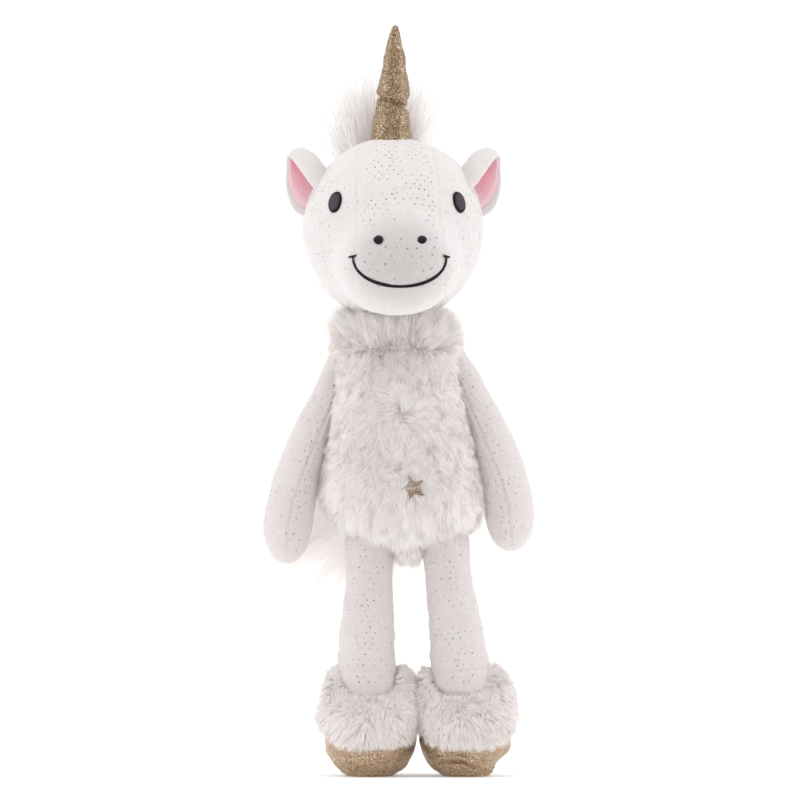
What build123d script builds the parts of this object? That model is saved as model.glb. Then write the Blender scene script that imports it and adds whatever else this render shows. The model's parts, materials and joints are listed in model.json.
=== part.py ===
from build123d import *
import math
import os

# A standing plush unicorn: velour head, arms and legs, faux-fur body, ankle cuffs, mane and tail,
# and a glitter-cloth horn and hooves. Every sewn piece, its filling and its trim is its own solid.
# The toy faces -Y, stands on z = 0 and names its sides as its own: its left side is at +X.

# Cloth
SKIN = 1.4                  # velour and its backing
GLITTER_CLOTH = 1.2
SEAM_GAP = 0.4              # air between two bodies that turn against each other
FAR = 400.0                 # larger than any half of the toy, for cutting blocks

# Head
HEAD_CENTRE = (-3.0, 0.0, 328.5)
HEAD_RADIUS = 54.0
HEAD_YAW = 3.5              # the face looks a little to the toy's left
MUZZLE_CENTRE = (0.0, -40.0, -21.0)      # from the head's centre
MUZZLE_RADIUS = 33.0
GUSSET_HALF_WIDTH = 24.0    # centre panel, forehead to chin
BACK_PANEL_Y = 8.0          # the side panels meet the back panel here

# Face trim
EYE_ANGLE = 45.3            # from the face's centre line
EYE_LIFT = 15.6             # above the head's centre, in degrees
EYE_WIDTH = 10.4
EYE_HEIGHT = 13.2
EYE_RIM = 1.0
TRIM_PROUD = 1.3            # how far the eyes stand out of the skin
NOSTRIL_RADIUS = 2.7
NOSTRIL_SPREAD = 12.9
NOSTRIL_Z = -7.5            # from the head's centre
MOUTH_HALF_WIDTH = 28.0
MOUTH_TOP_Z = -17.5
MOUTH_DROP = 19.5
MOUTH_LINE = 2.6            # widest part of the stitched smile
MOUTH_TICK = 4.4            # cross stitch at each corner
THREAD_PROUD = 0.8

# Horn
HORN_BASE_RADIUS = 12.0
HORN_CREASE_RADIUS = 9.9
HORN_TIP_RADIUS = 2.4
HORN_TOP_Z = 450.0
CREASE_Z = 404.4
CREASE_ROOM = 5.5           # height of the pinched neck under the crease
CREASE_BALL = 9.0
GATHER_THREAD = 0.6

# Ears, in their own frame: u outwards from the head, v up along the seam
EAR_LIFT = 26.0             # direction of the ear above the horizontal, in degrees
EAR_Y = 4.0
EAR_ROLL = 1.8              # the rolled seam that the ear folds on
EAR_TIP_UP = 17.6
EAR_TIP_OUT = 18.2
EAR_REACH = 19.0
EAR_HALF_SEAM = 13.5
EAR_BACK = 1.9
EAR_LINING = 1.5
EAR_EDGE = 1.0              # width of the white edge round the lining
EAR_LINING_SHARE = 0.76     # size of the lining against the back

# Mane
MANE_HALF_WIDTH = 14.0
MANE_SHIFT = -6.0           # the mane falls to the toy's right
MANE_RADIUS = 74.0
MANE_TAPE = 1.4
MANE_TAPE_HALF_WIDTH = 9.0
MANE_FRONT_Y = 16.0
MANE_END_Z = -30.0          # from the head's centre, at the nape
NAPE_LOCK = (13.0, 13.0, 19.0)           # half sizes of the lock that falls beside the neck
NAPE_LOCK_CENTRE = (-28.0, 38.0, -33.0)  # from the head's centre
FORELOCK_CENTRE = (-9.0, 27.0, 66.0)     # from the head's centre
FORELOCK_RADIUS = 25.0

# Neck
NECK_X = -2.0
NECK_PIVOT_Z = 282.0
NECK_BALL = 16.0
NECK_COLUMN = 13.5
NECK_FOOT_Z = 258.0
NECK_THREAD = 1.0

# Body: height, centre x, half width, half depth
BODY = [
    (155.0, 4.0, 36.0, 33.0),
    (160.0, 3.5, 40.5, 37.5),
    (170.0, 2.5, 42.0, 39.0),
    (195.0, 1.5, 37.0, 34.0),
    (225.0, 0.0, 32.5, 29.0),
    (252.0, -1.0, 30.0, 25.0),
    (262.0, -1.5, 27.0, 22.0),
    (266.0, -2.0, 22.0, 18.0),
]
BODY_CLOTH = 1.6
PELLET_BAG = (25.0, 21.0, 14.0)          # half sizes of the bag in the seat
PELLET_BAG_CENTRE = (3.0, 3.0, 176.0)
BELLY_PATCH_RADIUS = 6.5
BELLY_PATCH_AT = (8.5, 172.5)            # x and z
BELLY_PATCH_PROUD = 1.0
CROTCH = (12.4, 32.0, 27.0)              # width, depth and drop of the gusset between the legs
CROTCH_X = 5.4

# Arms: distance out and down from the shoulder, and radius
ARM_LINE = [
    (4.2, 5.4, 6.4),
    (9.4, 24.0, 8.4),
    (16.9, 45.0, 10.4),
    (27.2, 80.0, 13.8),
    (31.5, 104.0, 14.9),
    (32.4, 117.0, 13.2),
    (32.7, 125.0, 9.0),
    (32.7, 128.4, 4.0),
]
SHOULDER_BALL = 5.6
LEFT_SHOULDER = (33.6, 0.0, 259.0)
RIGHT_SHOULDER = (-36.7, 0.0, 255.5)

# Legs: distance down from the hip, and radius
HIP_Z = 138.0
LEFT_HIP_X = 28.5
RIGHT_HIP_X = -17.7
LEFT_ANKLE_X = 38.6
RIGHT_ANKLE_X = -19.3
LEG_BALL = 14.5             # the rounded top that turns under the body
LEG_LINE = [(6.0, 13.2), (30.0, 13.6), (62.0, 15.9), (100.0, 17.0)]
LEG_FOOT_Z = 44.0
HIP_GATHER = 6.0            # radius of the gathered cap between body and leg

# Feet: height, half width, half depth, centre y
LEFT_FOOT_X = 40.2
RIGHT_FOOT_X = -17.1
FOOT = [
    (2.4, 21.0, 27.0, -12.0),
    (10.0, 26.3, 33.0, -12.0),
    (20.0, 27.4, 33.5, -12.0),
    (31.0, 25.5, 30.0, -10.0),
    (44.0, 20.5, 21.5, -2.5),
]
CUFF = [
    (23.0, 27.6, 34.5, -12.0),
    (34.0, 28.0, 34.2, -10.0),
    (48.0, 27.2, 30.0, -4.0),
    (64.0, 22.0, 24.0, 1.0),
]
CUFF_FRONT_Z = 45.0         # the cuff's top slopes from here up to its back
CUFF_SLOPE = 24.0
HOOF_TOP_Z = 27.0
SOLE = (20.4, 26.4, 2.4)
HOOF_PELLETS = (17.0, 22.0, 6.5)
HOOF_PELLETS_Z = 11.0

# Tail
TAIL_ROOT = (-6.0, 39.2, 172.0)
TAIL_TAB = (4.0, 6.0)       # radius and length of the sewn root
TAIL_LEAN = 43.0            # towards the toy's right, in degrees from straight down
TAIL_LENGTH = 72.0
TAIL_HALF_WIDTH = 17.0
TAIL_HALF_DEPTH = 7.0


def keep_box(low, high):
    """A block between two corners, for cutting with & or -."""
    size = [h - l for l, h in zip(low, high)]
    middle = [(l + h) / 2 for l, h in zip(low, high)]
    return Pos(*middle) * Box(*size)


def ellipsoid(half_x, half_y, half_z):
    return scale(Sphere(1.0), by=(half_x, half_y, half_z))


def largest(shape):
    return max(shape.solids(), key=lambda solid: solid.volume)


def in_head(shape):
    """Moves a piece from the face's frame, centred on the head, to its place."""
    return Pos(*HEAD_CENTRE) * Rot(0, 0, HEAD_YAW) * shape


def head_form(grow):
    """Skull and muzzle in the face's frame, each grown by the same amount."""
    return Sphere(HEAD_RADIUS + grow) + Pos(*MUZZLE_CENTRE) * Sphere(MUZZLE_RADIUS + grow)


def neck_room():
    """What the neck's ball needs inside the head, and the flat that lets the head tilt."""
    pivot = Pos(NECK_X, 0, NECK_PIVOT_Z)
    flat = keep_box((-FAR, -FAR, 0), (FAR, FAR, NECK_PIVOT_Z))
    ring = Pos(NECK_X, 0, 0) * Cylinder(26.0, 2 * NECK_PIVOT_Z)
    return pivot * Sphere(NECK_BALL + SEAM_GAP) + (flat & ring)


def head():
    """Four sewn panels round one filling."""
    outer = head_form(0.0)
    inner = head_form(-SKIN)
    skin = outer - inner
    gusset = keep_box((-GUSSET_HALF_WIDTH, -FAR, -FAR), (GUSSET_HALF_WIDTH, BACK_PANEL_Y, FAR))
    left = keep_box((GUSSET_HALF_WIDTH, -FAR, -FAR), (FAR, BACK_PANEL_Y, FAR))
    right = keep_box((-FAR, -FAR, -FAR), (-GUSSET_HALF_WIDTH, BACK_PANEL_Y, FAR))
    back = keep_box((-FAR, BACK_PANEL_Y, -FAR), (FAR, FAR, FAR))
    neck = neck_room()
    return {
        "face_gusset": largest(in_head(skin & gusset) - neck),
        "left_cheek_panel": in_head(skin & left) - neck,
        "right_cheek_panel": in_head(skin & right) - neck,
        "head_back_panel": in_head(skin & back) - neck,
        "head_filling": in_head(inner) - neck,
    }


def eyes():
    """Padded oval pads with a raised stitched edge, following the skin."""
    made = {}
    for side, sign in (("left", 1), ("right", -1)):
        look = Rot(0, 0, sign * EYE_ANGLE) * Rot(-EYE_LIFT, 0, 0) * Rot(90, 0, 0)
        pad = look * extrude(Ellipse(EYE_WIDTH / 2 - EYE_RIM, EYE_HEIGHT / 2 - EYE_RIM), FAR / 2)
        whole = look * extrude(Ellipse(EYE_WIDTH / 2, EYE_HEIGHT / 2), FAR / 2)
        skull = Sphere(HEAD_RADIUS)
        made[f"{side}_eye_pad"] = in_head((Sphere(HEAD_RADIUS + TRIM_PROUD) - skull) & pad)
        rim = (Sphere(HEAD_RADIUS + TRIM_PROUD - 0.2) - skull) & (whole - pad)
        made[f"{side}_eye_stitching"] = in_head(rim)
    return made


def thread_layer():
    """A thin layer on the face, from which the embroidery is cut."""
    front = keep_box((-FAR, -FAR, -FAR), (FAR, 0, FAR))
    return (head_form(THREAD_PROUD) - head_form(0.0)) & front


def nostrils():
    layer = thread_layer()
    discs = []
    for sign in (1, -1):
        at = Pos(sign * NOSTRIL_SPREAD, 0, NOSTRIL_Z) * Rot(90, 0, 0)
        discs += (layer & (at * extrude(Circle(NOSTRIL_RADIUS), FAR / 2))).solids()
    return {"nostril_embroidery": in_head(Compound(discs))}


def mouth():
    """A smile that swells in its middle, with a short cross stitch at each corner."""
    ends = [(-MOUTH_HALF_WIDTH, 0), (MOUTH_HALF_WIDTH, 0)]
    low = ThreePointArc(ends[0], (0, -MOUTH_DROP - MOUTH_LINE / 2), ends[1])
    inset = MOUTH_LINE / 4
    inner = [(-MOUTH_HALF_WIDTH + inset, 0), (MOUTH_HALF_WIDTH - inset, 0)]
    high = ThreePointArc(inner[1], (0, -MOUTH_DROP + MOUTH_LINE / 2), inner[0])
    smile = make_face([low, Line(ends[1], inner[1]), high, Line(inner[0], ends[0])])
    for sign in (1, -1):
        tick = Rectangle(MOUTH_TICK, MOUTH_LINE / 2)
        smile += Pos(sign * (MOUTH_HALF_WIDTH - inset / 2), 0.4) * Rot(0, 0, sign * 12) * tick
    cut = Pos(0, 0, MOUTH_TOP_Z) * Rot(90, 0, 0) * extrude(smile, FAR / 2)
    return {"mouth_embroidery": in_head(thread_layer() & cut)}


def ears():
    """Each ear is a white back on a rolled seam and a pink lining; it folds about the roll."""
    tip = (EAR_TIP_OUT, EAR_TIP_UP)
    top = Spline((0, EAR_HALF_SEAM), (EAR_REACH / 2, EAR_TIP_UP), tip)
    low = Spline(tip, (EAR_REACH, EAR_TIP_UP / 3), (EAR_REACH / 2, 0.8 - EAR_HALF_SEAM), (0, -EAR_HALF_SEAM))
    leaf = make_face([top, low, Line((0, -EAR_HALF_SEAM), (0, EAR_HALF_SEAM))])
    roll = Rot(90, 0, 0) * Cylinder(EAR_ROLL, 2 * EAR_HALF_SEAM)
    lining = Pos(EAR_ROLL + EAR_EDGE, 0) * scale(leaf, by=EAR_LINING_SHARE)
    stand = HEAD_RADIUS + SEAM_GAP + EAR_ROLL
    made = {}
    for side, turn, front in (("left", 0, 1), ("right", 180, -1)):
        place = Rot(0, 0, turn) * Rot(0, -EAR_LIFT, 0) * Pos(stand, front * EAR_Y, 0) * Rot(90, 0, 0)
        place = Pos(*HEAD_CENTRE) * place
        made[f"{side}_ear_back"] = place * (extrude(leaf, -front * EAR_BACK) + roll)
        made[f"{side}_ear_lining"] = place * extrude(lining, front * EAR_LINING)
    return made


def cone_between(radius_low, radius_high, z_low, z_high):
    return Pos(0, 0, (z_low + z_high) / 2) * Cone(radius_low, radius_high, z_high - z_low)


def horn():
    """A stuffed cone, pinched by a gathering thread so that its upper part bends."""
    x, y, centre_z = HEAD_CENTRE
    z = CREASE_Z - centre_z
    top = HORN_TOP_Z - centre_z
    skull = Sphere(HEAD_RADIUS)
    bowl = Pos(0, 0, z) * Sphere(CREASE_BALL + SEAM_GAP)

    def lower(shrink):
        form = cone_between(
            HORN_BASE_RADIUS - shrink, HORN_CREASE_RADIUS - shrink, z - 32, z - CREASE_ROOM
        )
        return form - skull - bowl

    def upper(shrink):
        tip = HORN_TIP_RADIUS - shrink
        form = cone_between(HORN_CREASE_RADIUS - shrink, tip, z, top - HORN_TIP_RADIUS)
        form += Pos(0, 0, top - HORN_TIP_RADIUS) * Sphere(tip)
        return form + Pos(0, 0, z) * Sphere(CREASE_BALL - shrink)

    thread = Pos(0, 0, z - 0.7) * Torus(CREASE_BALL + GATHER_THREAD, GATHER_THREAD)
    tip_skin = upper(0) - upper(GLITTER_CLOTH) - thread
    made = {
        "horn_base_cloth": lower(0) - lower(GLITTER_CLOTH),
        "horn_base_filling": lower(GLITTER_CLOTH),
        "horn_tip_cloth": tip_skin,
        "horn_tip_filling": upper(GLITTER_CLOTH),
        "horn_gather_thread": thread,
    }
    return {name: Pos(x, y, centre_z) * shape for name, shape in made.items()}


def mane():
    """A sewn-on tape with a crest of long pile, and a forelock behind the horn."""
    tape_r = HEAD_RADIUS + MANE_TAPE

    def strip(low_r, high_r, half_width):
        shell = Sphere(high_r) - Sphere(low_r)
        return shell & keep_box(
            (MANE_SHIFT - half_width, MANE_FRONT_Y, MANE_END_Z), (MANE_SHIFT + half_width, FAR, FAR)
        )

    tape = strip(HEAD_RADIUS, tape_r, MANE_TAPE_HALF_WIDTH)
    crest = strip(tape_r, MANE_RADIUS, MANE_HALF_WIDTH)
    nape = Pos(*NAPE_LOCK_CENTRE) * ellipsoid(*NAPE_LOCK)
    crest += nape - Sphere(tape_r)
    lock = Pos(*FORELOCK_CENTRE) * Sphere(FORELOCK_RADIUS)
    lock = lock & keep_box((-FAR, MANE_FRONT_Y - 2, 0), (FAR, FAR, FAR))
    lock = lock - Sphere(tape_r) - crest
    made = {"mane_tape": tape, "mane_crest": crest, "forelock": lock}
    return {name: Pos(*HEAD_CENTRE) * shape for name, shape in made.items()}


def neck():
    """The filled neck column with a rounded top, and the thread that closes the head onto it."""
    ball = Pos(NECK_X, 0, NECK_PIVOT_Z) * Sphere(NECK_BALL)
    drop = NECK_PIVOT_Z - math.sqrt(NECK_BALL**2 - NECK_COLUMN**2)
    low = NECK_FOOT_Z + SEAM_GAP
    column = Pos(NECK_X, 0, (low + drop) / 2) * Cylinder(NECK_COLUMN, drop - low)
    thread = Pos(NECK_X, 0, 271.0) * Torus(NECK_COLUMN + NECK_THREAD, NECK_THREAD)
    return {"neck_filling": (ball + column) - thread, "neck_thread": thread}


def body_form(shrink):
    """The pear-shaped body, lofted through its sections."""
    sections = []
    for z, x, half_x, half_y in BODY:
        lift = shrink if z == BODY[0][0] else -shrink if z == BODY[-1][0] else 0
        sections.append(Pos(x, 0, z + lift) * Ellipse(half_x - shrink, half_y - shrink))
    return loft(sections)


def body():
    """Front and back fur panels, filling, seat pellets, belly patch and crotch gusset."""
    outer = body_form(0.0)
    inner = body_form(BODY_CLOTH)
    column = Pos(NECK_X, 0, FAR / 2 + NECK_FOOT_Z) * Cylinder(NECK_COLUMN + SEAM_GAP, FAR)
    bag = Pos(*PELLET_BAG_CENTRE) * ellipsoid(*PELLET_BAG)
    skin = outer - inner - column
    front = keep_box((-FAR, -FAR, 0), (FAR, 0, FAR))
    back = keep_box((-FAR, 0, 0), (FAR, FAR, FAR))
    x, z = BELLY_PATCH_AT
    punch = Pos(x, 0, z) * Rot(90, 0, 0) * extrude(Circle(BELLY_PATCH_RADIUS), FAR / 2)
    patch = (body_form(-BELLY_PATCH_PROUD) - outer) & punch
    width, depth, drop = CROTCH
    top = BODY[0][0]
    gusset = Pos(CROTCH_X, 0, top - drop / 2) * Box(width, depth, drop)
    gusset = fillet(gusset.edges().group_by(Axis.Z)[0], 5.0)
    return {
        "body_front_panel": skin & front,
        "body_back_panel": skin & back,
        "body_filling": inner - column - bag,
        "seat_pellet_bag": bag,
        "belly_patch": patch,
        "crotch_gusset": gusset,
    }


def limb(sections, out, shrink):
    """A round limb through (out, down, radius) sections from its joint, leaning out by sign."""
    faces = []
    last = len(sections) - 1
    for i, (side, down, radius) in enumerate(sections):
        before = sections[max(i - 1, 0)]
        after = sections[min(i + 1, last)]
        lean = math.degrees(math.atan2(after[0] - before[0], after[1] - before[1]))
        near_end = shrink if i == 0 else -shrink if i == last else 0
        place = Pos(out * side, 0, -(down + near_end)) * Rot(0, -out * lean, 0)
        faces.append(place * Circle(radius - shrink))
    return loft(faces)


def arm(side, out, shoulder):
    """Two long velour panels with the seam down the front, their filling and the gathered root."""
    at = Pos(*shoulder)
    outer = limb(ARM_LINE, out, 0.0)
    inner = limb(ARM_LINE, out, SKIN)
    socket = Sphere(SHOULDER_BALL + SEAM_GAP)
    skin = outer - inner - socket
    walk = [(0.0, FAR / 8)] + [(out * s, -d) for s, d, _ in ARM_LINE] + [(out * ARM_LINE[-1][0], -FAR)]
    inside = walk + [(-out * FAR, -FAR), (-out * FAR, FAR / 8)]
    block = extrude(Plane.XZ * make_face(Polyline(*inside, close=True)), FAR / 2, both=True)
    return {
        f"{side}_shoulder_gather": at * Sphere(SHOULDER_BALL),
        f"{side}_arm_inner_panel": at * (skin & block),
        f"{side}_arm_outer_panel": at * (skin - block),
        f"{side}_arm_filling": at * (inner - socket),
    }


def leg_form(hip_x, ankle_x, shrink):
    """A round leg that leans from the hip to the ankle, cut level where the foot begins."""
    lean = math.degrees(math.atan2(ankle_x - hip_x, HIP_Z - LEG_FOOT_Z))
    points = [(radius - shrink, -down) for down, radius in LEG_LINE]
    outline = make_face(
        [
            Spline(*points),
            Line(points[-1], (0, points[-1][1])),
            Line((0, points[-1][1]), (0, points[0][1])),
            Line((0, points[0][1]), points[0]),
        ]
    )
    form = revolve(Plane.XZ * outline, Axis.Z) + Sphere(LEG_BALL - shrink)
    placed = Pos(hip_x, 0, HIP_Z) * Rot(0, -lean, 0) * form
    return placed & keep_box((-FAR, -FAR, LEG_FOOT_Z), (FAR, FAR, FAR))


def level_loft(sections, x, shrink, ends=(0.0, 0.0)):
    """A loft through level ovals of (height, half width, half depth, centre y)."""
    faces = []
    for i, (z, half_x, half_y, y) in enumerate(sections):
        lift = ends[0] if i == 0 else ends[1] if i == len(sections) - 1 else 0
        faces.append(Pos(x, y, z + lift) * Ellipse(half_x - shrink, half_y - shrink))
    return loft(faces)


def leg(side, hip_x, ankle_x, foot_x):
    """Velour leg with its filling, hip cap, fur cuff, hoof, sole and the pellets that weight it."""
    outer = leg_form(hip_x, ankle_x, 0.0)
    inner = leg_form(hip_x, ankle_x, SKIN)
    skin = outer - inner
    front = keep_box((-FAR, -FAR, 0), (FAR, 0, FAR))
    foot = level_loft(FOOT, foot_x, 0.0)
    foot_inner = level_loft(FOOT, foot_x, GLITTER_CLOTH)
    below = keep_box((-FAR, -FAR, 0), (FAR, FAR, HOOF_TOP_Z))
    pellets = Pos(foot_x, FOOT[0][3], HOOF_PELLETS_Z) * ellipsoid(*HOOF_PELLETS)
    slope_cut = Pos(foot_x, CUFF[0][3] - CUFF[0][2], CUFF_FRONT_Z) * Rot(CUFF_SLOPE, 0, 0)
    above = slope_cut * Pos(0, 0, FAR / 2) * Box(FAR, FAR, FAR)
    cuff = level_loft(CUFF, foot_x, 0.0) - (foot & below) - outer - above
    instep = (foot - foot_inner) - below
    half_x, half_y, thick = SOLE
    rise = BODY[0][0] - HIP_Z
    cap = Sphere(rise - SEAM_GAP) - Sphere(LEG_BALL + SEAM_GAP)
    gather = cap & (Pos(0, 0, rise / 2) * Cylinder(HIP_GATHER, rise))
    return {
        f"{side}_hip_gather": Pos(hip_x, 0, HIP_Z) * gather,
        f"{side}_leg_front_panel": skin & front,
        f"{side}_leg_back_panel": skin - front,
        f"{side}_leg_filling": inner,
        f"{side}_fur_cuff": cuff - foot + instep,
        f"{side}_hoof_upper": (foot - foot_inner) & below,
        f"{side}_foot_filling": foot_inner - pellets,
        f"{side}_hoof_pellets": pellets,
        f"{side}_hoof_sole": Pos(foot_x, FOOT[0][3], thick / 2) * extrude_oval(half_x, half_y, thick),
    }


def extrude_oval(half_x, half_y, thick):
    return Pos(0, 0, -thick / 2) * extrude(Ellipse(half_x, half_y), thick)


def tail():
    """A sewn root on the back seam, which the tail swings on, and its flat tuft of long pile."""
    x, y, z = TAIL_ROOT
    radius, length = TAIL_TAB
    tab = Pos(x, y + length / 2, z) * Rot(90, 0, 0) * Cylinder(radius, length)
    tuft = Pos(0, 0, -TAIL_LENGTH / 2) * ellipsoid(TAIL_HALF_WIDTH, TAIL_HALF_DEPTH, TAIL_LENGTH / 2)
    tuft = Pos(x, y + length + TAIL_HALF_DEPTH / 2, z) * Rot(0, TAIL_LEAN, 0) * tuft
    return {"tail_tab": tab, "tail_tuft": tuft - tab}


def build():
    made = {}
    for group in (head(), eyes(), nostrils(), mouth(), ears(), horn(), mane(), neck(), body(), tail()):
        made.update(group)
    made.update(arm("left", 1, LEFT_SHOULDER))
    made.update(arm("right", -1, RIGHT_SHOULDER))
    made.update(leg("left", LEFT_HIP_X, LEFT_ANKLE_X, LEFT_FOOT_X))
    made.update(leg("right", RIGHT_HIP_X, RIGHT_ANKLE_X, RIGHT_FOOT_X))
    return made


os.makedirs("parts", exist_ok=True)
for node, shape in build().items():
    export_step(shape, f"parts/{node}.step")
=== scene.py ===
import json
import math

import bpy
import numpy as np
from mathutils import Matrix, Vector, kdtree


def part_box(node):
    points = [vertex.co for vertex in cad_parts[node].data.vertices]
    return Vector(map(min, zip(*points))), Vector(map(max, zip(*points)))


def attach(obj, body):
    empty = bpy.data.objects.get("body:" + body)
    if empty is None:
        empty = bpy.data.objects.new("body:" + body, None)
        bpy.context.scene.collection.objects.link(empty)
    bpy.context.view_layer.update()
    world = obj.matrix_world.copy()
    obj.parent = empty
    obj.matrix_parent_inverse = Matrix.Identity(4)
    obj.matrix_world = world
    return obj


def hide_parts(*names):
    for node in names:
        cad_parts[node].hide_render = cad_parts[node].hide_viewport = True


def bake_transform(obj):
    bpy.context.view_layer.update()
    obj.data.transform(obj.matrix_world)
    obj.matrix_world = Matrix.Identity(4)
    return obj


# The plush unicorn's looks. Lengths here are millimetres, turned to metres where a mesh is made.
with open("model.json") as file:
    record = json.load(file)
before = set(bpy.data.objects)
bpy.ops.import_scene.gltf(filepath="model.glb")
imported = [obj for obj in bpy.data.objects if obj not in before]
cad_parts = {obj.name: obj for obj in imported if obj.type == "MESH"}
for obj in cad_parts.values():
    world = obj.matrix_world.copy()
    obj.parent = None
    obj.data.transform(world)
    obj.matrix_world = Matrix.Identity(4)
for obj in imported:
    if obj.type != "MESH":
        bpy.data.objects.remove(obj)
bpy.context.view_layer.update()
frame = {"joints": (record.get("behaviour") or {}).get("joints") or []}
MM = 0.001
JOINTS = {joint["name"]: joint for joint in frame["joints"]}
SIDES = (("left", 1), ("right", -1))


# ---------------------------------------------------------------- measuring the frame


def corners(*nodes):
    """Lowest and highest corner of some CAD nodes together, in mm."""
    boxes = [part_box(node) for node in nodes]
    low = np.min([np.array(b[0]) for b in boxes], axis=0) / MM
    high = np.max([np.array(b[1]) for b in boxes], axis=0) / MM
    return low, high


def middle(*nodes):
    low, high = corners(*nodes)
    return (low + high) / 2


def pivot(joint):
    return np.array(JOINTS[joint]["pos_m"]) / MM


# ---------------------------------------------------------------- numbers and noise


def unit(v):
    return v / np.maximum(np.linalg.norm(v, axis=-1, keepdims=True), 1e-9)


def smoothstep(low, high, x):
    t = np.clip((x - low) / (high - low), 0, 1)
    return t * t * (3 - 2 * t)


def bump_at(x, centre, width):
    return np.exp(-(((x - centre) / width) ** 2))


def curve_through(x, xs, ys):
    """A smooth curve through points without overshoot (Fritsch-Carlson slopes)."""
    xs, ys = np.asarray(xs, float), np.asarray(ys, float)
    h = np.diff(xs)
    d = np.diff(ys) / h
    both = d[:-1] * d[1:]
    m = np.concatenate([[d[0]], np.where(both > 0, 2 * both / (d[:-1] + d[1:] + 1e-12), 0), [d[-1]]])
    i = np.clip(np.searchsorted(xs, x) - 1, 0, len(xs) - 2)
    t = np.clip((x - xs[i]) / h[i], 0, 1)
    a = (1 + 2 * t) * (1 - t) ** 2 * ys[i] + t * (1 - t) ** 2 * h[i] * m[i]
    return a + t * t * (3 - 2 * t) * ys[i + 1] + t * t * (t - 1) * h[i] * m[i + 1]


def profile(grid, xs, ys):
    """A smooth curve through points, taken at each value of a grid."""
    return curve_through(grid.ravel(), xs, ys).reshape(grid.shape)


def lattice(ix, iy, iz, seed):
    h = (ix * 374761393 + iy * 668265263 + iz * 1440662683 + seed * 974634777) & 0xFFFFFFFF
    h = ((h ^ (h >> 13)) * 1274126177) & 0xFFFFFFFF
    return ((h ^ (h >> 16)) & 0xFFFFFF) / 0x7FFFFF - 1.0


def noise(p, size, seed=0):
    """Smooth noise from -1 to 1 at points p, with features about size mm across."""
    q = np.asarray(p, float) / size
    base = np.floor(q).astype(np.int64)
    f = q - base
    f = f * f * (3 - 2 * f)
    total = 0
    for cx in (0, 1):
        for cy in (0, 1):
            for cz in (0, 1):
                weight = (
                    (f[:, 0] if cx else 1 - f[:, 0])
                    * (f[:, 1] if cy else 1 - f[:, 1])
                    * (f[:, 2] if cz else 1 - f[:, 2])
                )
                total = total + weight * lattice(base[:, 0] + cx, base[:, 1] + cy, base[:, 2] + cz, seed)
    return total


def noise_vector(p, size, seed=0):
    return np.stack([noise(p, size, seed + i) for i in range(3)], axis=1)


def layered(p, size, octaves=3, seed=0):
    return sum(noise(p, size / 2**i, seed + 17 * i) / 2**i for i in range(octaves))


# ---------------------------------------------------------------- meshes


def make_piece(name, co, faces, materials, uv=None, slots=None, smooth=True):
    """A mesh object from points in mm and one or more arrays of faces of three or four corners."""
    faces = faces if isinstance(faces, (list, tuple)) else [faces]
    mesh = bpy.data.meshes.new(name)
    mesh.vertices.add(len(co))
    mesh.vertices.foreach_set("co", (np.asarray(co) * MM).astype(np.float32).ravel())
    loops = np.concatenate([f.ravel() for f in faces]).astype(np.int32)
    sizes = np.concatenate([np.full(len(f), f.shape[1]) for f in faces])
    starts = np.concatenate([[0], np.cumsum(sizes)[:-1]]).astype(np.int32)
    mesh.loops.add(len(loops))
    mesh.loops.foreach_set("vertex_index", loops)
    mesh.polygons.add(len(sizes))
    mesh.polygons.foreach_set("loop_start", starts)
    if slots is not None:
        mesh.polygons.foreach_set("material_index", np.asarray(slots, np.int32))
    mesh.update(calc_edges=True)
    mesh.polygons.foreach_set("use_smooth", np.full(len(sizes), smooth))
    if uv is not None:
        layer = mesh.uv_layers.new(name="OFBake")
        layer.data.foreach_set("uv", uv[loops].astype(np.float32).ravel())
    for material in materials if isinstance(materials, (list, tuple)) else [materials]:
        mesh.materials.append(material)
    obj = bpy.data.objects.new(name, mesh)
    bpy.context.scene.collection.objects.link(obj)
    return obj


def settle(piece, body, slot, *nodes, fill=None):
    """A piece that moves with a body and stands for some CAD nodes, which it hides; the slot is not used."""
    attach(piece, body)
    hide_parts(*nodes)


def spun(levels, cols):
    """Level and turn of every point of a ring of cols points at each level."""
    turn = np.arange(cols) / cols * 2 * math.pi
    return np.meshgrid(levels, turn, indexing="ij")


def circle(count, side, up):
    """Directions all round an axis, at each row of two directions across it."""
    angle = np.arange(count) / count * 2 * math.pi
    return np.cos(angle)[None, :, None] * side[:, None] + np.sin(angle)[None, :, None] * up[:, None]


def grid_faces(rows, cols, closed=True):
    """Quads of a grid of rows x cols points, closed round its columns."""
    last = cols if closed else cols - 1
    r, c = np.meshgrid(np.arange(rows - 1), np.arange(last), indexing="ij")
    a = r * cols + c
    b = r * cols + (c + 1) % cols
    return np.stack([a, b, b + cols, a + cols], axis=-1).reshape(-1, 4)


def capped(rows, cols):
    """Faces of a closed tube of rings, with a fan over each end ring to two extra points."""
    quads = grid_faces(rows, cols)
    c = np.arange(cols)
    first, last = rows * cols, rows * cols + 1
    low = np.stack([(c + 1) % cols, c, np.full(cols, first)], axis=1)
    top = (rows - 1) * cols
    high = np.stack([top + c, top + (c + 1) % cols, np.full(cols, last)], axis=1)
    return [quads, np.concatenate([low, high])]


def close_ends(rings):
    """Points of rings (rows, cols, 3) and the middles of the first and last ring."""
    return np.concatenate([rings.reshape(-1, 3), rings[0].mean(0)[None], rings[-1].mean(0)[None]])


def vertex_normals(co, faces):
    faces = faces if isinstance(faces, (list, tuple)) else [faces]
    total = np.zeros_like(co)
    for f in faces:
        n = np.cross(co[f[:, 2]] - co[f[:, 0]], co[f[:, -1]] - co[f[:, 1]])
        for k in range(f.shape[1]):
            np.add.at(total, f[:, k], n)
    return unit(total)


def outward_normals(co, faces, right):
    """Normals of a closed surface; its point number right is on the +X side."""
    n = vertex_normals(co, faces)
    return n if n[right][0] > 0 else -n


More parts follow.
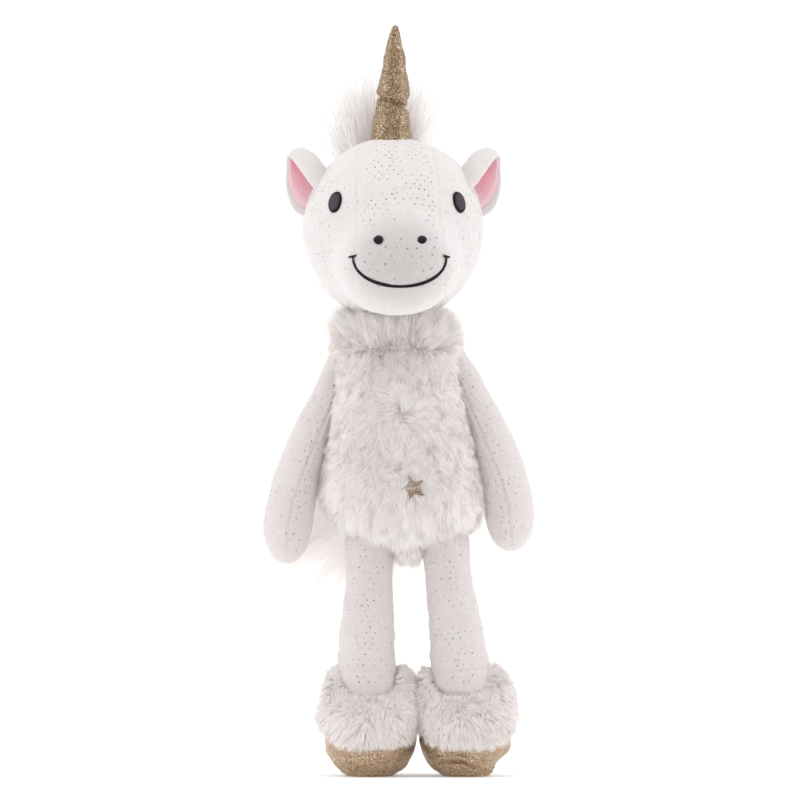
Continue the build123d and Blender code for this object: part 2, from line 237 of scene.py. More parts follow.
def scatter(co, quads, normals, count, rng, weight=None):
    """Random points on a mesh of quads, even by area or by weight, with their normals."""
    a, b, c, d = (co[quads[:, k]] for k in range(4))
    area = np.linalg.norm(np.cross(c - a, d - b), axis=1)
    if weight is not None:
        area = area * weight((a + b + c + d) / 4)
    pick = rng.choice(len(quads), count, p=area / area.sum())
    u, v = rng.random((count, 1)), rng.random((count, 1))
    share = [(1 - u) * (1 - v), u * (1 - v), u * v, (1 - u) * v]
    point = sum(s * co[quads[pick, k]] for k, s in enumerate(share))
    normal = unit(sum(s * normals[quads[pick, k]] for k, s in enumerate(share)))
    return point, normal


class Threads:
    """Many short round threads gathered into one mesh."""

    def __init__(self, sides=6):
        self.sides, self.co, self.quads, self.count = sides, [], [], 0

    def add(self, path, radius):
        path = np.asarray(path, float)
        rows = len(path)
        tangent = unit(np.gradient(path, axis=0))
        side = unit(np.cross(tangent, [0.31, 0.17, 0.93]))
        up = np.cross(side, tangent)
        taper = radius * np.sqrt(np.clip(np.sin(np.linspace(0.12, 1 - 0.12, rows) * math.pi), 0.1, 1))
        ring = circle(self.sides, side, up)
        self.co.append((path[:, None] + ring * taper[:, None, None]).reshape(-1, 3))
        self.quads.append(grid_faces(rows, self.sides) + self.count)
        self.count += rows * self.sides

    def piece(self, name, material):
        return make_piece(name, np.concatenate(self.co), np.concatenate(self.quads), material)


# ---------------------------------------------------------------- materials


def new_material(name):
    material = bpy.data.materials.new(name)
    material.use_nodes = True
    tree = material.node_tree
    shader = next(n for n in tree.nodes if n.type == "BSDF_PRINCIPLED")
    return material, tree, shader


def add_node(tree, kind, inputs=None, **settings):
    node = tree.nodes.new(kind)
    for key, value in settings.items():
        setattr(node, key, value)
    for key, value in (inputs or {}).items():
        if isinstance(value, bpy.types.NodeSocket):
            tree.links.new(value, node.inputs[key])
        else:
            node.inputs[key].default_value = value
    return node


def reckon(tree, operation, *values):
    """The result of a Math node."""
    return add_node(tree, "ShaderNodeMath", dict(enumerate(values)), operation=operation).outputs[0]


def roughen(tree, shader, height, strength, distance):
    """Relief from a height, as deep as distance in mm."""
    inputs = {"Height": height, "Strength": strength, "Distance": distance * MM}
    bump = add_node(tree, "ShaderNodeBump", inputs)
    tree.links.new(bump.outputs["Normal"], shader.inputs["Normal"])


def times(tree, first, second):
    """Two colours multiplied."""
    mix = add_node(tree, "ShaderNodeMix", data_type="RGBA", blend_type="MULTIPLY")
    mix.inputs["Factor"].default_value = 1.0
    tree.links.new(first, mix.inputs[6])
    tree.links.new(second, mix.inputs[7])
    return mix.outputs[2]


def ramp(tree, source, stops):
    node = add_node(tree, "ShaderNodeValToRGB", {0: source})
    elements = node.color_ramp.elements
    while len(elements) < len(stops):
        elements.new(0.5)
    for element, (place, colour) in zip(elements, stops):
        element.position = place
        element.color = (*colour, 1)
    return node.outputs["Color"]


def set_shader(shader, **values):
    names = {
        "roughness": "Roughness",
        "sheen": "Sheen Weight",
        "sheen_roughness": "Sheen Roughness",
        "metallic": "Metallic",
        "specular": "Specular IOR Level",
        "coat": "Coat Weight",
        "coat_roughness": "Coat Roughness",
    }
    for key, value in values.items():
        shader.inputs[names[key]].default_value = value


def set_glow(shader, strength):
    """Painted light: an emission glow that stands in for light that has come through the strands of a pile."""
    shader.inputs["Emission Color"].default_value = (1.0, 0.975, 0.97, 1)
    shader.inputs["Emission Strength"].default_value = strength


def mottled(tree, low, high, size, detail=3.0, spread=(0.3, 0.7)):
    """A colour that wanders between two colours in patches of about size mm."""
    place = add_node(tree, "ShaderNodeTexCoord").outputs["Object"]
    inputs = {"Vector": place, "Scale": 1000 / size / 2, "Detail": detail, "Roughness": 0.6}
    cloud = add_node(tree, "ShaderNodeTexNoise", inputs)
    return ramp(tree, cloud.outputs["Fac"], [(spread[0], low), (spread[1], high)])


MUZZLE_SHADE_REACH = 0.042  # metres from the nose to where the painted muzzle shade ends


def velour(name, low, high, fibre=0.7, depth=0.25, shaded=False, glow=0.0):
    """Short brushed pile: patches of nap over fine fibres that catch light at the edges."""
    material, tree, shader = new_material(name)
    nap = mottled(tree, low, high, 1.3, detail=5.0)
    place = add_node(tree, "ShaderNodeTexCoord").outputs["Object"]
    fine = add_node(tree, "ShaderNodeTexNoise", {"Vector": place, "Scale": 1000 / fibre, "Detail": 3.0})
    tint = ramp(tree, fine.outputs["Fac"], [(0.30, (0.94, 0.93, 0.93)), (0.62, (1, 1, 1))])
    colour = times(tree, nap, tint)
    if shaded:
        # painted shade: the muzzle is coloured greyer towards the nose, standing in for the shade on the
        # forward-facing muzzle, which the side lights reach less
        nose = to_world(np.array([0.0, -72.0, -22.0])) * MM
        away = add_node(tree, "ShaderNodeVectorMath", {0: place, 1: tuple(nose)}, operation="DISTANCE")
        reach = reckon(tree, "MULTIPLY", away.outputs["Value"], 1 / MUZZLE_SHADE_REACH)
        grey, paler = (0.77, 0.755, 0.76), (0.82, 0.81, 0.812)
        flat = ramp(tree, reach, [(0.15, grey), (0.50, paler), (0.90, (1, 1, 1))])
        colour = times(tree, colour, flat)
    tree.links.new(colour, shader.inputs["Base Color"])
    roughen(tree, shader, fine.outputs["Fac"], depth, 0.4)
    set_shader(shader, roughness=0.92, sheen=0.35, sheen_roughness=0.45, specular=0.15)
    # painted light: a faint glow, used for the backing under the pile
    if glow:
        set_glow(shader, glow)
    return material


def lining_material(name, deep, pale):
    """Pink velour, deepest beside the fold and pale towards the ear's open edge and its base."""
    material, tree, shader = new_material(name)
    place = add_node(tree, "ShaderNodeUVMap", uv_map="OFBake").outputs["UV"]
    split = add_node(tree, "ShaderNodeSeparateXYZ", {0: place})
    inputs = {"Vector": place, "Scale": 14.0, "Detail": 5.0, "Roughness": 0.7}
    cloud = add_node(tree, "ShaderNodeTexNoise", inputs)
    wander = reckon(tree, "MULTIPLY_ADD", cloud.outputs["Fac"], 0.30, -0.15)
    low = reckon(tree, "MULTIPLY_ADD", split.outputs["Y"], -0.45, 0.22)
    low = reckon(tree, "MAXIMUM", low, 0.0)
    far = reckon(tree, "ADD", split.outputs["X"], low)
    far = reckon(tree, "ADD", far, wander)
    middle_tone = tuple((d + p) / 2 for d, p in zip(deep, pale))
    colour = ramp(tree, far, [(0.35, deep), (0.72, middle_tone), (0.98, pale)])
    tree.links.new(colour, shader.inputs["Base Color"])
    set_shader(shader, roughness=0.92, sheen=0.3, sheen_roughness=0.45, specular=0.15)
    return material


def fur_material(name, root, tip, tone=0.05, glow=0.026):
    """Pile: darker and warmer at the root than at the tip, which is painted shade for the depth of the pile,
    and a little different strand by strand.
    """
    material, tree, shader = new_material(name)
    place = add_node(tree, "ShaderNodeUVMap", uv_map="OFBake").outputs["UV"]
    split = add_node(tree, "ShaderNodeSeparateXYZ", {0: place})
    between = tuple((r + 2 * t) / 3 for r, t in zip(root, tip))
    # painted shade: the root colour is darker than the tip's, standing in for the shade among the strands
    along = ramp(tree, split.outputs["Y"], [(0.0, root), (0.45, between), (1.0, tip)])
    darkest = (1 - tone, 1 - tone * 1.2, 1 - tone * 1.35)
    strand = ramp(tree, split.outputs["X"], [(0.0, darkest), (1.0, (1, 1, 1))])
    tree.links.new(times(tree, along, strand), shader.inputs["Base Color"])
    set_shader(shader, roughness=0.7, specular=0.2)
    # painted light: the pile glows a little
    set_glow(shader, glow)
    return material


def glitter(name, dark, mid, light, flake=0.42, depth=0.8):
    """Metallic flakes, each its own shade and tilt, set close together on cloth; the palest flakes are partly
    painted glints.
    """
    material, tree, shader = new_material(name)
    place = add_node(tree, "ShaderNodeTexCoord").outputs["Object"]
    cells = add_node(tree, "ShaderNodeTexVoronoi", {"Vector": place, "Scale": 1000 / flake, "Randomness": 1.0})
    split = add_node(tree, "ShaderNodeSeparateColor", {0: cells.outputs["Color"]})
    # partly painted glints: the flake colours run up to a pale gold that stands in for sparkle, beside the real
    # tilt from the bump
    colour = ramp(tree, split.outputs[0], [(0.0, dark), (0.45, mid), (0.80, mid), (1.0, light)])
    tree.links.new(colour, shader.inputs["Base Color"])
    roughen(tree, shader, split.outputs[1], depth, 0.35)
    set_shader(shader, roughness=0.36, metallic=0.55, specular=0.6)
    return material


def thread_material(name, low, high, roughness=0.5):
    material, tree, shader = new_material(name)
    tree.links.new(mottled(tree, low, high, 0.5), shader.inputs["Base Color"])
    set_shader(shader, roughness=roughness, specular=0.3)
    return material


def foil_material(name, low, high):
    material, tree, shader = new_material(name)
    tree.links.new(mottled(tree, low, high, 0.6), shader.inputs["Base Color"])
    set_shader(shader, roughness=0.4, metallic=0.5, specular=0.5)
    return material


# ---------------------------------------------------------------- pile


def grow(name, body, root, normal, comb, length, width, rng, material,
         segments=4, lean=(0.25, 0.8), per_clump=45, gather=0.75, curl=0.6, stray=0.12, fall=0.0,
         clump_spread=0.35):
    """Tapered strands in clumps. comb is the way the pile lies; lean is how far it lies over, root and tip."""
    count = len(root)
    length = np.broadcast_to(length, (count,)) * rng.uniform(0.78, 1.12, count)
    chosen = rng.choice(count, max(1, count // per_clump), replace=False)
    tree = kdtree.KDTree(len(chosen))
    for i, index in enumerate(chosen):
        tree.insert(root[index], i)
    tree.balance()
    nearest = np.array([tree.find(p)[1] for p in root])
    lead = chosen[nearest]
    wander = noise_vector(root[chosen], 6.0, 11) + rng.normal(0, 1, (len(chosen), 3)) * 0.6
    clump_comb = unit(comb[chosen] + clump_spread * wander)
    clump_length = length[chosen] * rng.uniform(0.85, 1.15, len(chosen))
    clump_phase = rng.uniform(0, 2 * math.pi, len(chosen))
    strand_jitter = rng.normal(0, 1, (count, 3)) * stray
    steps = np.linspace(0, 1, segments + 1)
    drop = np.array([0, 0, -1.0])

    first_lean = np.broadcast_to(lean[0], (count,))[:, None]
    last_lean = np.broadcast_to(lean[1], (count,))[:, None]

    def path(start, up, way, reach, jitter, rows=slice(None)):
        points, at = [start], start
        for k in range(segments):
            share = first_lean[rows] + (last_lean[rows] - first_lean[rows]) * (steps[k] + steps[k + 1]) / 2
            go = up * (1 - share) + way * share + jitter + drop * fall * steps[k]
            at = at + unit(go) * (reach / segments)[:, None]
            points.append(at)
        return np.stack(points, axis=1)

    own = path(root, normal, clump_comb[nearest], length, strand_jitter)
    axis = path(root[chosen], normal[chosen], clump_comb, clump_length, 0.0, chosen)[nearest]
    hold = (gather * steps**1.5)[None, :, None]
    keep_apart = (root - root[lead])[:, None, :] * 0.22
    points = own * (1 - hold) + (axis + keep_apart) * hold
    swirl = clump_phase[nearest][:, None] + steps[None] * 2.6 + rng.uniform(-0.5, 0.5, count)[:, None]
    across = unit(np.cross(normal, clump_comb[nearest]))
    points = points + across[:, None] * (np.sin(swirl) * steps[None] * curl)[..., None]
    tangent = unit(np.gradient(points, axis=1))
    roll = unit(normal + rng.normal(0, 0.55, (count, 3)))
    side = unit(np.cross(tangent, roll[:, None]))
    outward = np.sum(np.cross(side, tangent).mean(axis=1) * normal, axis=1) < 0
    side = np.where(outward[:, None, None], -side, side)
    wide = width * rng.uniform(0.75, 1.25, count)[:, None] * np.sqrt(np.clip(1 - steps[None] ** 1.6, 0, 1))
    left = points - side * wide[..., None] / 2
    right = points + side * wide[..., None] / 2
    rungs = np.stack([left[:, :-1], right[:, :-1]], axis=2).reshape(count, -1, 3)
    co = np.concatenate([rungs, points[:, -1:]], axis=1)
    each = co.shape[1]
    first = (np.arange(count) * each)[:, None, None]
    k = np.arange(segments - 1)[:, None]
    quad = np.concatenate([2 * k, 2 * k + 1, 2 * k + 3, 2 * k + 2], axis=1)[None]
    quads = (first + quad).reshape(-1, 4)
    tip = np.array([[2 * segments - 2, 2 * segments - 1, 2 * segments]])[None]
    tris = (first + tip).reshape(-1, 3)
    tone = np.clip(0.6 * rng.random(count) + 0.4 * rng.random(len(chosen))[nearest], 0.02, 0.98)
    along = np.concatenate([np.repeat(steps[:-1], 2), [1.0]]) * 0.96 + 0.02
    uv = np.stack([np.repeat(tone, each), np.tile(along, count)], axis=1)
    piece = make_piece(name, co.reshape(-1, 3), [quads, tris], material, uv=uv)
    # each strand is shaded partly as the cloth under it is, which keeps dense pile soft
    own_facing = np.cross(side, tangent)
    shade = unit(own_facing * 0.55 + normal[:, None] * 0.45)
    shade = np.concatenate([np.repeat(shade[:, :-1], 2, axis=1), shade[:, -1:]], axis=1).reshape(-1, 3)
    piece.data.normals_split_custom_set_from_vertices(shade)
    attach(piece, body)
    return piece


# ---------------------------------------------------------------- head

SKULL = corners("left_cheek_panel", "right_cheek_panel", "head_back_panel", "face_gusset")
HEAD_RADIUS = SKULL[1][1]
HEAD_CENTRE = np.array([
    (corners("left_cheek_panel")[1][0] + corners("right_cheek_panel")[0][0]) / 2,
    0.0,
    SKULL[1][2] - HEAD_RADIUS,
])
NOSE = middle("nostril_embroidery") - HEAD_CENTRE
YAW = math.atan2(NOSE[0], -NOSE[1])
MUZZLE_AT = np.array([0.0, -41.5, -22.5])
MUZZLE_SIZE = np.array([36.5, 31.5, 31.0])
GUSSET = 24.0  # half width of the centre panel at the eyes
SKIN_RANGE = (20, 130)  # the head's skin is between these distances from its middle


def to_world(p):
    """From the face's frame, where the toy looks along -Y, to the row's frame."""
    c, s = math.cos(YAW), math.sin(YAW)
    turned = np.stack([p[..., 0] * c - p[..., 1] * s, p[..., 0] * s + p[..., 1] * c, p[..., 2]], axis=-1)
    return turned + HEAD_CENTRE


def to_face(p):
    q = p - HEAD_CENTRE
    c, s = math.cos(YAW), math.sin(YAW)
    return np.stack([q[..., 0] * c + q[..., 1] * s, -q[..., 0] * s + q[..., 1] * c, q[..., 2]], axis=-1)


VELOUR = velour("white_velour", (0.69, 0.637, 0.628), (0.745, 0.70, 0.69))
# painted light: the head's velour is a lighter copy of the white velour, for the head being lit more from
# above; it also carries the painted muzzle shade
HEAD_VELOUR = velour("head_velour", (0.72, 0.687, 0.68), (0.775, 0.747, 0.74), shaded=True)
PINK = lining_material("pink_velour", (0.68, 0.165, 0.235), (0.87, 0.60, 0.66))
# painted shade: both pile materials are darker at the root than at the tip
FUR = fur_material("white_pile", (0.955, 0.918, 0.903), (0.997, 0.976, 0.969), tone=0.09)
LONG_FUR = fur_material("white_long_pile", (0.975, 0.953, 0.945), (0.998, 0.982, 0.978), glow=0.042)
# painted light: the backing under the pile glows a little
UNDERCOAT = velour("pile_backing", (0.95, 0.915, 0.90), (0.98, 0.955, 0.945), glow=0.03)
GOLD = glitter("gold_glitter_cloth", (0.08, 0.045, 0.02), (0.33, 0.215, 0.12), (0.98, 0.86, 0.68))
HOOF_GOLD = glitter("hoof_glitter_cloth", (0.09, 0.05, 0.025), (0.50, 0.335, 0.195), (1.0, 0.90, 0.76))
EYE_CLOTH = thread_material("dark_eye_cloth", (0.028, 0.024, 0.032), (0.050, 0.044, 0.056), 0.42)
BLACK = thread_material("black_thread", (0.004, 0.003, 0.003), (0.011, 0.009, 0.009))
WHITE_THREAD = thread_material("white_thread", (0.70, 0.67, 0.65), (0.85, 0.83, 0.81), 0.6)
FOIL = [
    foil_material("foil_dark", (0.05, 0.045, 0.045), (0.14, 0.125, 0.125)),
    foil_material("foil_mid", (0.25, 0.225, 0.22), (0.42, 0.38, 0.365)),
    foil_material("foil_light", (0.62, 0.58, 0.55), (0.74, 0.70, 0.68)),
]


FOIL_PITCH = 4.6  # between printed dots in a row
FOIL_ROW = 0.72  # between rows, as a share of that


def head_field(p):
    """Signed distance from the head's skin, in the face's frame: skull and muzzle melted together."""
    # the cheeks are fuller than a ball's
    squat = p[..., 2] * (1 - 0.045 * smoothstep(-10, -38, p[..., 2]))
    skull = np.sqrt(p[..., 0] ** 2 + p[..., 1] ** 2 + squat**2) - HEAD_RADIUS
    q = p - MUZZLE_AT
    near = np.linalg.norm(q / MUZZLE_SIZE, axis=-1)
    slope = np.linalg.norm(q / MUZZLE_SIZE**2, axis=-1) + 1e-9
    muzzle = near * (near - 1) / slope
    soft = 11.0
    h = np.clip(0.5 + 0.5 * (skull - muzzle) / soft, 0, 1)
    return skull * (1 - h) + muzzle * h - soft * h * (1 - h)


def head_normal(p):
    step = 0.4
    offsets = np.eye(3) * step
    return unit(np.stack([head_field(p + o) - head_field(p - o) for o in offsets], axis=-1))


def along_ray(start, way, near, far):
    """Where the head's skin is, between two distances along each ray."""
    low, high = np.full(len(way), float(near)), np.full(len(way), float(far))
    for _ in range(30):
        mid = (low + high) / 2
        inside = head_field(start + way * mid[:, None]) < 0
        low, high = np.where(inside, mid, low), np.where(inside, high, mid)
    return start + way * low[:, None]


def on_face(x, z):
    """Points of the face's skin straight in front of (x, z)."""
    x, z = np.broadcast_arrays(np.asarray(x, float), np.asarray(z, float))
    start = np.stack([x, np.zeros_like(x), z], axis=-1).reshape(-1, 3)
    way = np.broadcast_to(np.array([0.0, -1.0, 0.0]), start.shape)
    return along_ray(start, way, 0, 120)


def head():
    rows, cols = 190, 300
    polar, turn = spun(np.linspace(0.004, math.pi - 0.004, rows), cols)
    # the grid's poles point left and right, so rings run over the head like its seams
    way = np.stack([np.cos(polar), np.sin(polar) * np.cos(turn), np.sin(polar) * np.sin(turn)], axis=-1)
    p = along_ray(np.zeros(3), way.reshape(-1, 3), *SKIN_RANGE)
    n = head_normal(p)
    lumps = 0.55 * layered(p, 22, 3, 3) + 0.12 * layered(p, 5, 2, 5)
    seam_x = GUSSET + 3.0 * smoothstep(10, -25, p[:, 2]) + 2.0 * smoothstep(20, 50, p[:, 2]) * -1
    fade = smoothstep(14, 4, p[:, 1])
    seam = bump_at(np.abs(p[:, 0]), seam_x, 0.9) * fade
    back_seam = bump_at(p[:, 1], 8.0, 0.9) * smoothstep(-40, -20, p[:, 2])
    pucker = 1 + 0.5 * noise(p, 2.2, 9)
    shift = lumps - 0.38 * seam * pucker - 0.6 * back_seam * pucker
    # the pile stands up beside a seam
    beside = bump_at(np.abs(p[:, 0]), seam_x + 2.2, 1.2) + bump_at(np.abs(p[:, 0]), seam_x - 2.2, 1.2)
    shift += 0.16 * beside * fade
    co = to_world(p + n * shift[:, None]).reshape(rows, cols, 3)
    # painted light and shade: the head wears the lighter head velour with its painted muzzle shade
    piece = make_piece("head_velour", close_ends(co), capped(rows, cols), HEAD_VELOUR)
    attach(piece, "head")
    return piece


def foil_dots(name, body, point, normal, kind, rng, size=0.43):
    """Small printed foil discs lying on the nap."""
    count = len(point)
    side = unit(np.cross(normal, [0.2, 0.1, 0.97]))
    up = np.cross(normal, side)
    radius = size * rng.uniform(0.8, 1.15, count)[:, None, None]
    co = point[:, None] + normal[:, None] * 0.14 + circle(6, side, up) * radius
    top = point[:, None] + normal[:, None] * 0.26
    co = np.concatenate([co, top], axis=1).reshape(-1, 3)
    base = (np.arange(count) * 7)[:, None, None]
    fan = np.array([[k, (k + 1) % 6, 6] for k in range(6)])[None]
    faces = (base + fan).reshape(-1, 3)
    piece = make_piece(name, co, faces, FOIL, slots=np.repeat(kind, 6))
    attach(piece, body)
    return piece


def head_foil():
    rng = np.random.default_rng(21)
    rows, cols = np.meshgrid(np.arange(-14, 22), np.arange(-15, 16), indexing="ij")
    across = (cols + 0.5 * (rows % 2)) * FOIL_PITCH
    along = rows * FOIL_PITCH * FOIL_ROW
    across = across.ravel() + rng.normal(0, 0.35, across.size)
    along = along.ravel() + rng.normal(0, 0.35, along.size)
    a, b = across / HEAD_RADIUS, along / HEAD_RADIUS
    keep = np.abs(a) < 1.25
    a, b = a[keep], b[keep]
    way = np.stack([np.sin(a), -np.cos(a) * np.cos(b), np.cos(a) * np.sin(b)], axis=-1)
    p = along_ray(np.zeros(3), way, *SKIN_RANGE)
    n = head_normal(p)
    # painted reflection: on the front panel, which faces forward, most dots are dark or mid-grey foil that
    # mirrors the dark surroundings in front; elsewhere fewer dots show, mostly pale
    in_gusset = np.abs(p[:, 0]) < GUSSET - 2
    chance = rng.random(len(p))
    bold = np.where(chance < 0.30, 0, np.where(chance < 0.72, 1, 2))
    kind = np.where(in_gusset, bold, np.where(chance < 0.12, 1, 2))
    show = np.where(in_gusset, chance < 0.93, chance < 0.45)
    show &= p[:, 2] > -37
    foil_dots("head_foil_dots", "head", to_world(p[show]), turn_only(n[show]), kind[show], rng)


def turn_only(v):
    return to_world(v) - HEAD_CENTRE


def eye(side):
    """A padded satin oval edged with close stitches."""
    pad_low, pad_high = corners(f"{side}_eye_stitching")
    aim = to_face(((pad_low + pad_high) / 2)[None])
    way = unit(aim)
    spot = along_ray(np.zeros(3), way, *SKIN_RANGE)[0]
    out = head_normal(spot[None])[0]
    right = unit(np.cross([0, 0, 1.0], -out))
    up = np.cross(-out, right) * -1
    if up[2] < 0:
        up = -up
    half_w, half_h = 4.6, 6.1
    rings, cols = 12, 48

    def place(r, t, lift):
        flat = spot + right * (half_w * r * np.cos(t))[..., None] + up * (half_h * r * np.sin(t))[..., None]
        drop = ((half_w * r * np.cos(t)) ** 2 + (half_h * r * np.sin(t)) ** 2) / (2 * HEAD_RADIUS)
        return flat + out * (lift - drop)[..., None]

    r, t = spun(np.linspace(0.02, 1.0, rings), cols)
    dome = 0.5 + 1.3 * np.sqrt(np.clip(1 - r**2.6, 0, 1))
    dome[-1] = -1.0
    co = place(r, t, dome)
    piece = make_piece(f"{side}_eye_pad_satin", close_ends(to_world(co)), capped(rings, cols), EYE_CLOTH)
    settle(piece, "head", "dark_eye_cloth", f"{side}_eye_pad", fill=0.9)
    threads = Threads()
    rng = np.random.default_rng(31)
    for a in np.arange(92) / 92 * 2 * math.pi:
        steps = np.linspace(0, 1, 6)
        radial = 0.86 + (0.21 + rng.uniform(-0.02, 0.02)) * steps
        lift = np.array([1.0, 1.25, 1.15, 0.85, 0.4, -0.25])
        line = place(radial, a + 0.05 * steps, lift)
        threads.add(to_world(line), 0.24)
    rim = threads.piece(f"{side}_eye_edge_stitches", BLACK)
    settle(rim, "head", "black_thread", f"{side}_eye_stitching")


def satin_line(threads, x, z, wide, gap=0.34, lift=0.5, seed=0):
    """Close stitches across a line drawn on the face."""
    rng = np.random.default_rng(seed)
    line = on_face(x, z)
    length = np.concatenate([[0], np.cumsum(np.linalg.norm(np.diff(line, axis=0), axis=1))])
    stations = np.arange(0, length[-1], gap)
    centre = np.stack([np.interp(stations, length, line[:, i]) for i in range(3)], axis=1)
    breadth = np.interp(stations, length, wide)
    tangent = unit(np.gradient(centre, axis=0))
    normal = head_normal(centre)
    across = unit(np.cross(normal, tangent))
    arch = np.array([-0.25, 0.62, 0.95, 1.0, 0.95, 0.62, -0.25]) * lift
    reach = np.linspace(-1, 1, 7)
    for c, t, n, b, w in zip(centre, tangent, normal, across, breadth):
        w = w / 2 * rng.uniform(0.93, 1.08)
        slant = 0.18 * reach
        threads.add(to_world(c + b * (reach * w)[:, None] + t * slant[:, None] + n * arch[:, None]), 0.23)


def mouth():
    low, high = corners("mouth_embroidery")
    top = high[2] - HEAD_CENTRE[2] - 2.7
    depth = high[2] - low[2] - 4.9
    half = 27.8
    threads = Threads()
    t = np.linspace(-math.pi / 2, math.pi / 2, 200)
    x = half * np.sign(np.sin(t)) * np.abs(np.sin(t)) ** 0.94
    z = top - depth * np.cos(t) ** 0.96
    wide = 1.15 + 1.05 * np.cos(t) ** 0.8
    satin_line(threads, x, z, wide, seed=41)
    for sign in (-1, 1):
        bar = np.linspace(-2.0, 1.9, 12)
        satin_line(threads, sign * half + bar, top + 0.5 - sign * 0.22 * bar, np.full(12, 1.15), seed=43)
    piece = threads.piece("mouth_satin_stitch", BLACK)
    settle(piece, "head", "black_thread", "mouth_embroidery")


def nostrils():
    low, high = corners("nostril_embroidery")
    z0 = (low[2] + high[2]) / 2 - HEAD_CENTRE[2] - 0.9
    radius = (high[2] - low[2]) / 2
    spread = 12.9
    threads = Threads()
    for sign in (-1, 1):
        for offset in np.arange(-radius + 0.2, radius, 0.32):
            half = math.sqrt(max(radius**2 - offset**2, 0.05))
            steps = np.linspace(-1, 1, 7)
            line = on_face(sign * spread + offset + 0.12 * steps, z0 + half * steps)
            lift = np.array([-0.25, 0.6, 0.85, 0.9, 0.85, 0.6, -0.25]) * (0.6 + 0.4 * half / radius)
            threads.add(to_world(line + head_normal(line) * lift[:, None]), 0.24)
    piece = threads.piece("nostril_satin_stitch", BLACK)
    settle(piece, "head", "black_thread", "nostril_embroidery")


# ---------------------------------------------------------------- horn


def horn():
    """One glitter-cloth cone, gathered in a crease at the height of the horn's bend joint."""
    _, high = corners("horn_tip_cloth")
    axis = middle("horn_tip_cloth")[:2]
    crease = pivot("horn_bend")[2]
    top = high[2]
    heights = [-27, -24, -11, -5.0, 0.0, 3.0, 9, 18, 24.5, 30.5, 37, 42.5, 45.0, 45.5]
    widths = [12.9, 12.2, 11.2, 9.9, 8.9, 9.7, 9.3, 7.6, 6.9, 5.3, 3.9, 2.5, 1.3, 0.3]
    sways = [-1.2, -1.2, -1.2, -1.3, -0.6, 0.1, 0.2, 0.2, 0.7, 0.7, 0.7, 0.9, 1.1, 1.1]
    rows, cols = 170, 110
    share = np.linspace(0, 1, rows)
    h = np.array(heights[0] + (top - crease - heights[0]) * (1 - (1 - share) ** 1.25))
    hh, tt = spun(h, cols)
    radius = profile(hh, heights, widths)
    sway = profile(hh, heights, sways)
    # the crease slants: high on the toy's right, low on its left
    crease_at = hh + 0.8 + 3.3 * np.cos(tt)
    flat = np.stack([np.cos(tt), np.sin(tt), np.zeros_like(tt)], axis=-1)
    p = np.stack([sway + radius * np.cos(tt), radius * np.sin(tt), hh], axis=-1)
    around = np.stack([np.cos(tt) * 9, np.sin(tt) * 9, hh * 0.25], axis=-1).reshape(-1, 3)
    folds = noise(around, 2.4, 51).reshape(hh.shape)
    wrinkle = layered(p.reshape(-1, 3), 7, 3, 53).reshape(hh.shape)
    shift = -1.7 * bump_at(crease_at, 0.0, 1.0) + 0.85 * folds * bump_at(crease_at, 0, 4.0)
    shift += 0.5 * wrinkle * smoothstep(45, 25, hh) + 0.6 * bump_at(crease_at, 3.4, 2.0)
    shift += 0.5 * bump_at(crease_at, -2.8, 1.6)
    p = p + flat * shift[..., None]
    p[..., 2] += crease
    p[..., :2] += axis
    piece = make_piece("horn_glitter_cloth", close_ends(p), capped(rows, cols), GOLD)
    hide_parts("horn_base_cloth", "horn_tip_cloth",
                "horn_base_filling", "horn_tip_filling", "horn_gather_thread")
    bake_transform(piece)


# ---------------------------------------------------------------- ears


def shell(rows, outer, normal, thick):
    """A closed sheet from a grid of points, thickened along its normals."""
    cols = outer.shape[1]
    inner = outer - normal * thick
    front = grid_faces(rows, cols, closed=False)
    back = front[:, ::-1] + rows * cols
    edge = np.concatenate([
        np.arange(cols),
        np.arange(1, rows) * cols + cols - 1,
        (rows - 1) * cols + np.arange(cols - 2, -1, -1),
        np.arange(rows - 2, 0, -1) * cols,
    ])
    following = np.roll(edge, -1)
    rim = np.stack([edge, edge + rows * cols, following + rows * cols, following], axis=1)
    return np.concatenate([outer.reshape(-1, 3), inner.reshape(-1, 3)]), np.concatenate([front, back, rim])


